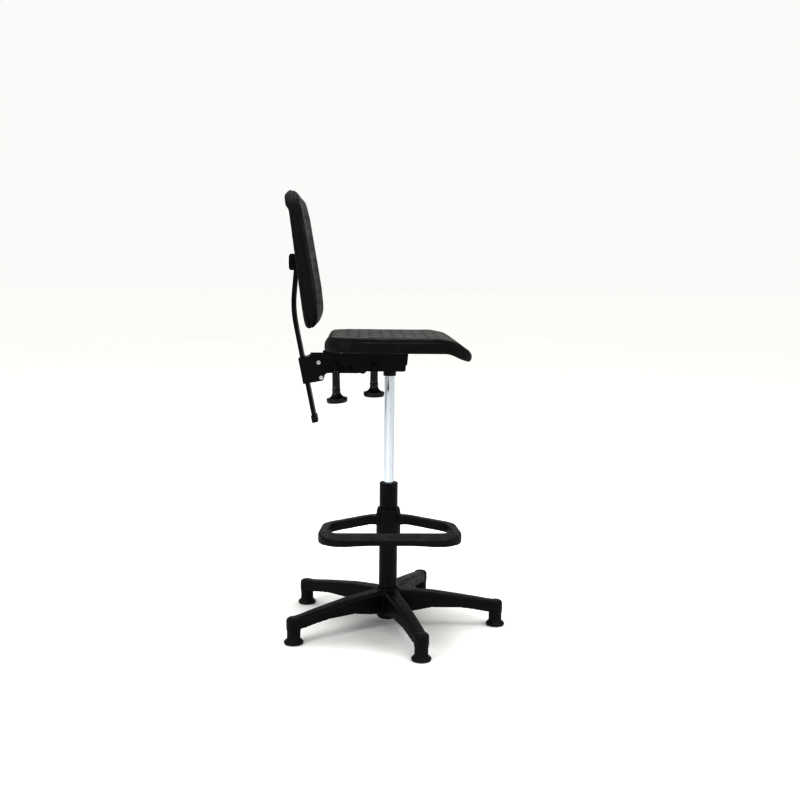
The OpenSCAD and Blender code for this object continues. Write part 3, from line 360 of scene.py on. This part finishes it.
def skin_foam(name, dark, pale):
    """Self-skinning foam: soft black skin with a leather-like grain, paler where it faces up (partly dust, partly
    a painted sheen) and with a painted highlight on its rims.
    """
    s = Shade(name)
    wide, fine = s.noise(7, 5), s.noise(85, 5)
    tint = s.blend(s.span(wide, 0.3, 0.7), dark, [1.8 * c for c in dark])
    tint = s.blend(s.span(fine, 0.45, 0.75, 0, 0.5), tint, pale)
    pebble = s.cells(420, "SMOOTH_F1")
    crease = s.span(pebble, 0.35, 0.75)
    # Darker in the creases of the grain: painted shade where the bump sinks the skin.
    tint = s.blend(s.span(crease, 0, 1, 0, 0.6), tint, [0.5 * c for c in dark])
    # Pale, patchy tint on faces that look up: partly dust, partly a painted sheen that stands in for a glancing
    # reflection.
    top_tint = s.math("MULTIPLY", s.up(), s.span(s.noise(55, 6), 0.35, 0.7, 0.25, 0.9))
    tint = s.blend(top_tint, tint, [3.2 * c for c in pale])
    # Paler along the rims and ridges: a painted highlight on the foam's edges.
    s.colour(s.blend(s.span(s.ridge_mask(0.51, 0.57), 0, 1, 0, 0.35), tint, [2 * c for c in pale]))
    gloss = s.span(s.noise(26, 4), 0.3, 0.7, 0.36, 0.52)
    s.rough(s.math("ADD", gloss, s.span(crease, 0, 1, 0, 0.12)))
    s.constant(Specular_IOR_Level=0.28, Sheen_Weight=0.02, Sheen_Roughness=0.45)
    s.bump(s.math("MULTIPLY", pebble, -1.0), 0.3 * MM, 0.85)
    s.bump(s.noise(1300, 2), 0.05 * MM, 0.5)
    s.bump(s.noise(30, 3), 0.5 * MM, 0.25)
    return s.material


def stud_rubber(name):
    """Grey-black tread rubber, dull, scuffed pale on the tops of its studs."""
    s = Shade(name)
    tint = s.blend(s.span(s.noise(30, 5), 0.35, 0.7), [0.022, 0.024, 0.024], [0.05, 0.052, 0.05])
    scuffed = s.math("MULTIPLY", s.ridge_mask(), s.span(s.noise(55, 4), 0.35, 0.65, 0.3, 0.9))
    s.colour(s.blend(scuffed, tint, [0.15, 0.16, 0.158]))
    s.rough(s.span(s.noise(120, 4), 0.3, 0.7, 0.55, 0.75))
    s.bump(s.noise(900, 3), 0.06 * MM, 0.7)
    return s.material


def soft_rubber(name):
    """Matt black rubber."""
    s = Shade(name)
    s.colour(s.blend(s.span(s.noise(40, 4), 0.35, 0.7), [0.012, 0.012, 0.013], [0.024, 0.024, 0.025]))
    s.rough(s.span(s.noise(150, 3), 0.3, 0.7, 0.65, 0.85))
    s.bump(s.noise(800, 2), 0.05 * MM, 0.6)
    return s.material


def felt(name):
    """Grey felt with its fibres lying one way."""
    s = Shade(name)
    fibres = s.noise(900, 5, (1, 0.25, 1))
    s.colour(s.blend(s.span(fibres, 0.35, 0.7), [0.08, 0.08, 0.08], [0.2, 0.2, 0.195]))
    s.rough(s.span(fibres, 0.3, 0.7, 0.85, 1.0))
    s.bump(fibres, 0.3 * MM, 0.8)
    return s.material


def plywood(name):
    """Raw birch ply: pale plies on the edges, long grain on the faces."""
    s = Shade(name)
    plies = s.node("ShaderNodeTexWave", {"Vector": s.place, "Scale": 110.0, "Distortion": 0.6},
                   bands_direction="Z").outputs["Fac"]
    grain = s.noise(60, 6, (0.08, 1, 1))
    tint = s.blend(s.span(plies, 0.4, 0.6), [0.56, 0.40, 0.23], [0.40, 0.26, 0.13])
    s.colour(s.blend(s.span(grain, 0.4, 0.7, 0, 0.5), tint, [0.33, 0.2, 0.1]))
    s.rough(s.span(grain, 0.3, 0.7, 0.55, 0.75))
    s.bump(grain, 0.12 * MM, 0.6)
    return s.material


def handle_plastic(name):
    """Smooth, semi-gloss black plastic."""
    s = Shade(name)
    s.colour(s.blend(s.span(s.noise(35, 4), 0.35, 0.7), [0.005, 0.005, 0.0055], [0.011, 0.011, 0.012]))
    s.rough(s.span(s.noise(75, 6), 0.3, 0.7, 0.2, 0.34))
    s.constant(Specular_IOR_Level=0.55)
    s.bump(s.noise(240, 2), 0.02 * MM, 0.4)
    return s.material


MATERIALS = {
    "black_nylon": moulded("black_nylon", [0.0045, 0.0045, 0.0046], [0.026, 0.024, 0.02]),
    "dark_plastic": moulded("dark_plastic", [0.006, 0.006, 0.0063], [0.024, 0.023, 0.021], top_tint=0.3),
    "glide_plastic": moulded("glide_plastic", [0.006, 0.0068, 0.0068], [0.026, 0.029, 0.027], top_tint=0.3),
    "handle_plastic": handle_plastic("handle_plastic"),
    "felt_grey": felt("felt_grey"),
    "zinc_steel": metal("zinc_steel", [0.66, 0.67, 0.66], [0.46, 0.47, 0.48], (0.24, 0.4)),
    "chromed_tube": chromed("chromed_tube"),
    "black_steel": powder_coat("black_steel", [0.0045, 0.0045, 0.005]),
    "black_bolts": metal("black_bolts", [0.03, 0.03, 0.034], [0.012, 0.012, 0.014], (0.34, 0.5)),
    "spring_steel": metal("spring_steel", [0.28, 0.29, 0.31], [0.15, 0.155, 0.165], (0.28, 0.42)),
    "brass": metal("brass", [0.72, 0.53, 0.24], [0.5, 0.34, 0.14], (0.25, 0.4)),
    "rubber": soft_rubber("rubber"),
    "tread_rubber": stud_rubber("tread_rubber"),
    "plywood": plywood("plywood"),
    "seat_foam": skin_foam("seat_foam", [0.0042, 0.0044, 0.0044], [0.022, 0.0235, 0.0205]),
    "back_foam": skin_foam("back_foam", [0.006, 0.006, 0.0066], [0.022, 0.0225, 0.023]),
}


def dress(piece, slot):
    piece.data.materials.clear()
    piece.data.materials.append(MATERIALS[slot])


def settle(piece, body, slot, *nodes):
    """Gives a new piece its material and its body, and hides the CAD nodes that it stands for."""
    dress(piece, slot)
    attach(piece, body)
    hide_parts(*nodes)
    return piece


# ---------- base ----------

HUB_WALL = 4.5 * MM          # plastic round the steel sleeve
LEG_TOP = [(0, 0.104), (0.41, 0.096), (0.66, 0.086), (0.8, 0.080), (0.93, 0.0735), (1, 0.072)]
LEG_UNDER = [(0, 0.034), (0.245, 0.044), (0.41, 0.054), (0.66, 0.054), (0.8, 0.049), (0.93, 0.042),
             (1, 0.042)]
LEG_ROOT_W, LEG_TIP_W = 0.052, 0.036
LEG_WALL = 4 * MM
LEG_START = 0.02             # inside the hub
RIBS = 4
RIB_T = 3.2 * MM
SOCKET_R, SOCKET_BORE_R = 19.5 * MM, 5.6 * MM
SOCKET_DOME_R = 9 * MM
GLIDE_STEM = 20 * MM         # length of the pin of a glide that stands in its socket
GLIDES = [f"glide_{i}" for i in range(1, 6)]


def along_line(line, share):
    return float(np.interp(share, [p[0] for p in line], [p[1] for p in line]))


def leg_section(x, reach):
    """Outline of a leg across its length, as an upturned channel with round shoulders."""
    share = x / reach
    top, under = along_line(LEG_TOP, share), along_line(LEG_UNDER, share)
    low_half = (LEG_ROOT_W + (LEG_TIP_W - LEG_ROOT_W) * share) / 2
    top_half = low_half - 2.5 * MM
    outline = softened([
        (-low_half, under, 1 * MM),
        (-top_half, top, 9 * MM),
        (top_half, top + 0.01 * MM, 9 * MM),
        (low_half, under, 1 * MM),
        (low_half - LEG_WALL, under, 0.6 * MM),
        (top_half - LEG_WALL, top - LEG_WALL, 4 * MM),
        (-top_half + LEG_WALL, top - LEG_WALL - 0.01 * MM, 4 * MM),
        (-low_half + LEG_WALL, under, 0.6 * MM),
    ], 4)
    return [(x, y, z) for y, z in outline]


def leg(reach, socket_low):
    """One leg with its ribs and its foot socket, along +X."""
    stations = np.linspace(LEG_START, reach - SOCKET_R * 0.55, 22)
    parts = [loft([leg_section(x, reach) for x in stations])]
    for x in np.linspace(0.085, reach - 0.065, RIBS):
        share = x / reach
        low, top = along_line(LEG_UNDER, share) + 3 * MM, along_line(LEG_TOP, share) - 2 * MM
        half = (LEG_ROOT_W + (LEG_TIP_W - LEG_ROOT_W) * share) / 2 - 2 * MM
        ring = [(-half, low), (half, low), (half - 2 * MM, top), (-half + 2 * MM, top)]
        parts.append(loft([[(x + dx, y, z) for y, z in ring] for dx in (-RIB_T / 2, RIB_T / 2)]))
    socket_top = LEG_TOP[-1][1]
    dome = [(SOCKET_R - SOCKET_DOME_R * (1 - math.cos(a)), socket_top - SOCKET_DOME_R * (1 - math.sin(a)))
            for a in np.linspace(0, math.pi / 2, 6)]
    bore_top = socket_low + GLIDE_STEM + 4 * MM
    profile = [(SOCKET_BORE_R, bore_top), (SOCKET_BORE_R, socket_low), (SOCKET_R - 1 * MM, socket_low),
               (SOCKET_R, socket_low + 1 * MM)] + dome + [(0.2 * MM, socket_top), (0.2 * MM, bore_top)]
    parts.append(moved(lathe(profile, 48), Matrix.Translation((reach, 0, 0))))
    return merged(parts)


def base_star():
    """Moulded five-legged base, one skin from the hub to the foot sockets."""
    sleeve_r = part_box("hub_sleeve")[1].x
    low, top = (corner.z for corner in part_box("base_star"))
    bore, outer = sleeve_r + 0.1 * MM, sleeve_r + HUB_WALL
    profile = softened([
        (bore, low, 0.5 * MM), (outer - 2.5 * MM, low, 2 * MM), (outer - 2.5 * MM, low + 10 * MM, 0.5 * MM),
        (outer, low + 12 * MM, 1 * MM), (outer, top - 1 * MM, 4 * MM), (bore, top, 1 * MM),
    ], 5)
    parts = [lathe(profile, 96)]
    for name in GLIDES:
        foot = middle(name)
        reach, turn = math.hypot(foot.x, foot.y), math.atan2(foot.y, foot.x)
        shape = leg(reach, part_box(name)[1].z - GLIDE_STEM)
        parts.append(moved(shape, Matrix.Rotation(turn, 4, "Z")))
    star = mesh_piece("star_base", *merged(parts))
    return settle(fused(star, 2.2 * MM, 7), "base", "black_nylon", "base_star")


FLUTES, FLUTE_DEPTH = 16, 1.1 * MM
NECK_R, PIN_R = 17.5 * MM, 5.4 * MM


def glide(name):
    """A fluted foot with a flared rim, open below for its pad."""
    low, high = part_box(name)
    centre, foot_r = middle(name), size(name).x / 2
    collar = high.z - GLIDE_STEM
    flute_low, flute_high = low.z + 13 * MM, collar - 6 * MM

    def radius(r, z, a):
        if not (flute_low < z < flute_high and r > NECK_R - 2 * MM):
            return r
        return r - FLUTE_DEPTH * max(0.0, math.cos(FLUTES * a)) ** 0.6

    waist = np.linspace(flute_low + 0.1 * MM, flute_high - 0.1 * MM, 6)
    profile = [(PIN_R, high.z), (0.2 * MM, high.z), (0.2 * MM, low.z + 4 * MM), (15 * MM, low.z + 4 * MM),
               (16 * MM, low.z), (foot_r - 1.2 * MM, low.z), (foot_r, low.z + 1 * MM),
               (foot_r, low.z + 3.6 * MM), (foot_r - 1.2 * MM, low.z + 5.2 * MM),
               (foot_r - 5 * MM, low.z + 8 * MM), (NECK_R + 0.6 * MM, low.z + 11.5 * MM), (NECK_R, flute_low)]
    profile += [(NECK_R, z) for z in waist]
    profile += [(NECK_R, flute_high), (NECK_R + 0.8 * MM, collar - 3 * MM), (NECK_R + 1.3 * MM, collar),
                (PIN_R, collar)]
    place = Matrix.Translation((centre.x, centre.y, 0))
    shape = moved(lathe(profile, 128, radius), place)
    return settle(mesh_piece(name + "_fluted", *shape), "base", "glide_plastic", name)


# ---------- foot ring ----------

def foot_ring():
    """The CAD ring with its edges rounded."""
    ring = copy_of("foot_ring", "ring_moulding")
    return settle(fused(ring, 1.9 * MM, 12), "foot_ring", "black_nylon", "foot_ring")


TREAD_CORNER = 69 * MM       # radius of its two front corners
TREAD_T = 2.5 * MM
TREAD_LIFT = 0.2 * MM         # the sheet starts this far above the CAD pad's lowest point
TREAD_SPARE = 0.6 * MM        # of the CAD pad's height, kept from the slope
STUD_PITCH, STUD_R, STUD_H = 6.5 * MM, 1.9 * MM, 1.0 * MM
STUD_MARGIN = 4 * MM          # from a stud's middle to the tread's edge


def tread():
    """Rubber tread with rows of small studs. The ring's front looks along -Y."""
    low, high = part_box("tread_pad")
    half_x, centre = (high.x - low.x) / 2, middle("tread_pad")
    slope = (high.z - low.z - TREAD_T - TREAD_SPARE) / (high.y - low.y)
    side_y = low.y + TREAD_CORNER
    bend = [math.pi / 2 * k / 10 for k in range(11)]
    bend = [a for a in bend if low.y + TREAD_CORNER * (1 - math.sin(a)) < high.y]
    outline = [(-half_x + TREAD_CORNER * (1 - math.cos(a)), side_y - TREAD_CORNER * math.sin(a))
               for a in bend]
    outline += [(-x, y) for x, y in reversed(outline)]
    outline += [(outline[-1][0], high.y), (outline[0][0], high.y)]
    top = low.z + TREAD_T + 2 * TREAD_LIFT
    parts = [slab(outline, low.z + TREAD_LIFT, top, 0.5 * MM)]

    def room_for_stud(x, y):
        beyond_x, beyond_y = abs(x) - (half_x - TREAD_CORNER), side_y - y
        if beyond_x > 0 and beyond_y > 0:
            return math.hypot(beyond_x, beyond_y) < TREAD_CORNER - STUD_MARGIN
        return abs(x) < half_x - STUD_MARGIN

    rows = int((high.y - low.y - 2 * STUD_MARGIN) / STUD_PITCH)
    columns = int((2 * (half_x - STUD_MARGIN)) / STUD_PITCH)
    profile = [(0.05 * MM, top - 0.3 * MM), (STUD_R, top - 0.3 * MM), (STUD_R - 0.2 * MM, top + STUD_H * 0.8),
               (STUD_R - 0.6 * MM, top + STUD_H), (0.05 * MM, top + STUD_H)]
    stud = lathe(profile, 10)
    for i in range(columns + 1):
        for k in range(rows + 1):
            x = (i - columns / 2) * STUD_PITCH
            y = centre.y + (k - rows / 2) * STUD_PITCH
            if room_for_stud(x, y):
                parts.append(moved(stud, Matrix.Translation((x, y, 0))))
    vertices, faces = merged(parts)
    vertices = [(v[0], v[1], v[2] + slope * (v[1] - low.y)) for v in vertices]
    piece = mesh_piece("tread_studded", vertices, faces)
    return settle(piece, "foot_ring", "tread_rubber", "tread_pad")


# ---------- cushions ----------

def swollen(piece, pressure, frames, cap, hold):
    """Blows the foam's skin up with a cloth simulation. No point moves more than cap times hold(points)."""
    start = points_of(piece)
    cloth = piece.modifiers.new("swell", "CLOTH")
    cloth.settings.use_pressure = True
    cloth.settings.uniform_pressure_force = pressure
    cloth.settings.effector_weights.gravity = 0
    cloth.settings.quality = 4
    cloth.settings.tension_stiffness = 25
    cloth.settings.compression_stiffness = 25
    cloth.settings.bending_stiffness = 2
    for f in range(1, frames + 1):
        SCENE.frame_set(f)
    seen = piece.evaluated_get(bpy.context.evaluated_depsgraph_get())
    mesh = seen.to_mesh()
    co = np.zeros(len(mesh.vertices) * 3, np.float32)
    mesh.vertices.foreach_get("co", co)
    seen.to_mesh_clear()
    piece.modifiers.clear()
    SCENE.frame_set(1)
    step = co.reshape(-1, 3).astype(float) - start
    length = np.linalg.norm(step, axis=1)
    most = cap * hold(start)
    share = np.where(length > most, most / np.maximum(length, 1e-9), 1.0)
    put_points(piece, start + step * share[:, None])
    return piece


FOAM_VOXEL, FOAM_ROUNDS = 4 * MM, 4
SWELL_PRESSURE, SWELL_FRAMES, SWELL_CAP = 4, 20, 3.5 * MM


def subdivided(piece):
    piece.modifiers.new("finer", "SUBSURF").levels = 1
    return applied(piece)


ROW_STEP = 0.866             # between staggered rows, as a share of the pitch


def bell(distance, width):
    return np.exp(-(distance / width) ** 2)


def ease(value, low, high):
    t = np.clip((value - low) / (high - low), 0, 1)
    return t * t * (3 - 2 * t)


def dimples(first, second, pitch, radius):
    """Depth from 0 to 1 of staggered rows of round dimples, over two coordinates of a face."""
    row = np.round(first / (pitch * ROW_STEP))
    second = second + pitch / 2 * (row % 2)
    from_row = first - row * pitch * ROW_STEP
    from_column = second - np.round(second / pitch) * pitch
    return 1 - ease(np.hypot(from_row, from_column), radius * 0.4, radius)


DIMPLE_PITCH, DIMPLE_R, DIMPLE_DEPTH = 34 * MM, 7.5 * MM, 1.2 * MM
CREASE_W, CREASE_DEPTH = 2.4 * MM, 2.0 * MM
SEAT_CREASE_DROP = 9 * MM     # below the seat's rim
BACK_CREASE_AHEAD = 32 * MM   # in front of the backrest's hinge


def rim_height(co, step=8 * MM):
    """Height of the seat's upper edge at each point: it never rises again towards the front."""
    bins = ((co[:, 0].max() - co[:, 0]) / step).astype(int)
    highest = np.full(bins.max() + 1, -1.0)
    np.maximum.at(highest, bins, co[:, 2])
    centres = co[:, 0].max() - (np.arange(len(highest)) + 0.5) * step
    highest = np.maximum.accumulate(highest)
    return np.interp(co[:, 0], centres[::-1], highest[::-1])


def seat_cushion():
    """Skinned foam seat: crowned, creased below its rim along its sides and back but not round its nose, with a
    field of shallow dimples on top.
    """
    low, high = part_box("seat_pad")
    board_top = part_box("seat_board")[1].z
    piece = fused(copy_of("seat_pad", "seat_cushion"), FOAM_VOXEL, FOAM_ROUNDS)
    swollen(piece, SWELL_PRESSURE, SWELL_FRAMES, SWELL_CAP,
            lambda p: ease(p[:, 2], board_top + 4 * MM, board_top + 20 * MM))
    subdivided(piece)
    co, normal = points_of(piece), normals_of(piece)
    outside = co[:, 2] > board_top + 2 * MM
    wall = ease(1 - np.abs(normal[:, 2]), 0.3, 0.7) * outside
    below_rim = rim_height(co) - co[:, 2]
    back_of_nose = ease(high.x - co[:, 0], 25 * MM, 60 * MM)
    crease = bell(below_rim - SEAT_CREASE_DROP, CREASE_W) * wall * back_of_nose
    edge_x = np.minimum(co[:, 0] - low.x, high.x - co[:, 0])
    edge_y = np.minimum(co[:, 1] - low.y, high.y - co[:, 1])
    inside = ease(np.minimum(edge_x, edge_y), 26 * MM, 40 * MM) * ease(normal[:, 2], 0.6, 0.85) * outside
    dimple = dimples(co[:, 0] - low.x, co[:, 1], DIMPLE_PITCH, DIMPLE_R) * inside
    depth = crease * CREASE_DEPTH + dimple * DIMPLE_DEPTH
    put_points(piece, co - normal * depth[:, None])
    return settle(piece, "carriage", "seat_foam", "seat_pad")


BACK_LEAN = math.radians(7.6)   # of the backrest's front from upright


def back_cushion():
    """Skinned foam backrest: a crease round its edge and dimples on its hollow front."""
    low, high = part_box("back_pad")
    hinge = np.array(joint_at("backrest_tilt"))
    forward = np.array([math.cos(BACK_LEAN), 0, math.sin(BACK_LEAN)])
    upward = np.array([-math.sin(BACK_LEAN), 0, math.cos(BACK_LEAN)])
    piece = fused(copy_of("back_pad", "back_cushion"), FOAM_VOXEL, FOAM_ROUNDS)
    swollen(piece, SWELL_PRESSURE, SWELL_FRAMES, SWELL_CAP,
            lambda p: ease((p - hinge) @ forward, 30 * MM, 46 * MM))
    subdivided(piece)
    co, normal = points_of(piece), normals_of(piece)
    from_hinge = co - hinge
    ahead, above = from_hinge @ forward, from_hinge @ upward
    edge = ease(1 - np.abs(normal @ forward), 0.35, 0.7)
    crease = bell(ahead - BACK_CREASE_AHEAD, CREASE_W) * edge
    edge_y = np.minimum(co[:, 1] - low.y, high.y - co[:, 1])
    edge_z = np.minimum(above - above.min(), above.max() - above)
    inside = ease(np.minimum(edge_y, edge_z), 30 * MM, 44 * MM) * ease(normal @ forward, 0.6, 0.85)
    dimple = dimples(above, co[:, 1], DIMPLE_PITCH, DIMPLE_R) * inside
    depth = crease * CREASE_DEPTH + dimple * DIMPLE_DEPTH
    put_points(piece, co - normal * depth[:, None])
    return settle(piece, "backrest", "back_foam", "back_pad")


# ---------- handles ----------

LOCK_LEAN = math.radians(1)  # of the tilt lock's handle from plumb
LOCK_TIP = math.radians(4)   # how far the foot of the tilt lock's handle is turned on its stem
ROD_R = 5 * MM
STEM_R = 9.5 * MM


def trumpet_handle(node, joint, lean, tip=0.0):
    """Moulded handle on a hanging rod: a slim stem that opens into a flared foot with a round rim."""
    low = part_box(node)[0]
    axis = joint_at(joint)
    flare, stem = size(node).y / 2, STEM_R
    foot = -(axis.z - low.z - flare * math.sin(lean)) / math.cos(lean)
    rod_end = foot + 12 * MM
    bore = ROD_R + 0.05 * MM
    top = -14 * MM
    ring = foot + 34 * MM
    profile = [(bore, top), (stem - 1.2 * MM, top), (stem - 0.3 * MM, top - 0.4 * MM), (stem, top - 1.5 * MM)]
    for t in (0.35, 0.7, 1.0):
        profile.append((stem + 0.5 * MM * t, top - 1.5 * MM + (foot + 38 * MM - top) * t))
    profile += [(stem + 1.6 * MM, ring + 1 * MM), (stem + 1.9 * MM, ring), (stem + 1.6 * MM, ring - 1 * MM),
                (stem + 0.7 * MM, ring - 2 * MM)]
    for a in np.linspace(0.12, 1, 9) * math.pi / 2:
        profile.append((flare - 1.4 * MM - (flare - stem - 2 * MM) * math.cos(a),
                        foot + 31 * MM - 17.5 * MM * math.sin(a)))
    profile += [(flare - 0.4 * MM, foot + 12.8 * MM), (flare, foot + 11.6 * MM), (flare, foot + 5 * MM),
                (flare - 0.8 * MM, foot + 2.4 * MM), (flare - 2.6 * MM, foot + 0.7 * MM),
                (flare - 5 * MM, foot), (flare - 8 * MM, foot + 0.4 * MM), (8 * MM, foot + 1.6 * MM),
                (0.2 * MM, foot + 1.8 * MM), (0.2 * MM, rod_end - 0.1 * MM), (bore, rod_end - 0.1 * MM)]
    vertices, faces = lathe(profile, 72)
    turned = []
    for x, y, z in vertices:
        angle = tip * min(1.0, max(0.0, (ring - z) / (15 * MM)))
        down = z - ring
        turned.append((x * math.cos(angle) - down * math.sin(angle), y,
                       ring + x * math.sin(angle) + down * math.cos(angle)))
    place = Matrix.Translation((axis.x, middle(node).y, axis.z)) @ Matrix.Rotation(-lean, 4, "Y")
    shape = moved((turned, faces), place)
    return settle(mesh_piece(node + "_trumpet", *shape), JOINTS[joint]["child"], "handle_plastic", node)


# ---------- carried-over CAD nodes ----------

ROUNDED = ["mech_tray", "mounting_plate", "back_carrier", "bar_clamp", "back_bar", "bar_stop", "bar_bracket",
           "back_plate", "taper_socket"]
BROKEN_EDGE = 0.8 * MM


def rounded_edges(node):
    """Breaks a CAD node's sharp edges, as pressing and casting do."""
    piece = frame["nodes"][node]
    piece.modifiers.new("weld", "WELD").merge_threshold = WELD
    bevel = piece.modifiers.new("edges", "BEVEL")
    bevel.width = BROKEN_EDGE
    bevel.segments = 2
    bevel.limit_method = "ANGLE"
    bevel.angle_limit = math.radians(35)
    bevel.harden_normals = True


# ---------- room ----------

def room():
    """A plain pale floor, wide enough to reach past the view."""
    reach, steps = 60.0, 96
    rim = [(reach * math.cos(2 * math.pi * i / steps), reach * math.sin(2 * math.pi * i / steps), 0.0)
           for i in range(steps)]
    floor = mesh_piece("floor", rim, [list(range(steps))])
    s = Shade("pale_floor")
    s.colour(s.blend(s.span(s.noise(0.6, 3), 0.35, 0.7), [0.92, 0.92, 0.915], [0.91, 0.91, 0.905]))
    s.rough(s.span(s.noise(3, 3), 0.3, 0.7, 0.6, 0.75))
    s.constant(Specular_IOR_Level=0.0)
    floor.data.materials.append(s.material)


LAMPS_AIM = (0, 0, 0.6)
VIEW_GAMMA = 0.6             # darkens the blacks as the photograph does


def soft_light(name, at, width, power):
    """A square lamp, width across and power in watts, that looks at LAMPS_AIM."""
    light = bpy.data.lights.new(name, "AREA")
    light.shape, light.size, light.energy = "SQUARE", width, power
    lamp = bpy.data.objects.new(name, light)
    lamp.location = at
    lamp.rotation_euler = (Vector(LAMPS_AIM) - Vector(at)).to_track_quat("-Z", "Y").to_euler()
    SCENE.collection.objects.link(lamp)


def lighting():
    """A white sky, a little brighter overhead, and three soft lamps."""
    world = bpy.data.worlds.new("studio")
    world.use_nodes = True
    nodes, links = world.node_tree.nodes, world.node_tree.links
    sky = nodes["Background"]
    place = nodes.new("ShaderNodeTexCoord")
    split = nodes.new("ShaderNodeSeparateXYZ")
    rise = nodes.new("ShaderNodeMapRange")
    for key, value in {"From Min": 0.25, "From Max": 1.0, "To Min": 0.975, "To Max": 1.15}.items():
        rise.inputs[key].default_value = value
    links.new(place.outputs["Generated"], split.inputs["Vector"])
    links.new(split.outputs["Z"], rise.inputs["Value"])
    links.new(rise.outputs["Result"], sky.inputs["Strength"])
    sky.inputs["Color"].default_value = (1.0, 1.0, 0.99, 1)
    SCENE.world = world
    soft_light("overhead", (0.3, -0.6, 4.2), 2.2, 60)
    soft_light("left_front", (-3.2, -3.0, 2.2), 1.2, 60)
    soft_light("right_front", (3.0, -2.6, 1.8), 1.2, 30)
    SCENE.view_settings.view_transform = "Standard"
    SCENE.view_settings.gamma = VIEW_GAMMA


# ---------- camera ----------

FOCAL_LENGTH, SENSOR_WIDTH = 47.68, 36.0   # millimetres
CAMERA_AT = (-0.0708, -2.89, 0.9738)
CAMERA_PAN = math.radians(-1.978)
CAMERA_PITCH = 0.11745       # radians below the horizon
CAMERA_ROLL = 0.010


def camera():
    """The photograph's point of view: the sitter would face right."""
    lens = bpy.data.cameras.new("camera")
    lens.lens, lens.sensor_width = FOCAL_LENGTH, SENSOR_WIDTH
    eye = bpy.data.objects.new("camera", lens)
    eye.rotation_mode = "XYZ"
    turn = Matrix.Rotation(CAMERA_PAN, 4, "Z") @ Matrix.Rotation(math.pi / 2 - CAMERA_PITCH, 4, "X")
    eye.matrix_world = Matrix.Translation(CAMERA_AT) @ turn @ Matrix.Rotation(CAMERA_ROLL, 4, "Z")
    SCENE.collection.objects.link(eye)
    SCENE.camera = eye


# ---------- the stool ----------

camera()
lighting()
room()
for node, cad in frame["nodes"].items():
    dress(cad, SLOT_OF[node])
for node in ROUNDED:
    rounded_edges(node)
base_star()
for node in GLIDES:
    glide(node)
foot_ring()
tread()
seat_cushion()
back_cushion()
trumpet_handle("gas_handle", "gas_lever_turn", 0)
trumpet_handle("lock_handle", "lock_lever_turn", LOCK_LEAN, LOCK_TIP)
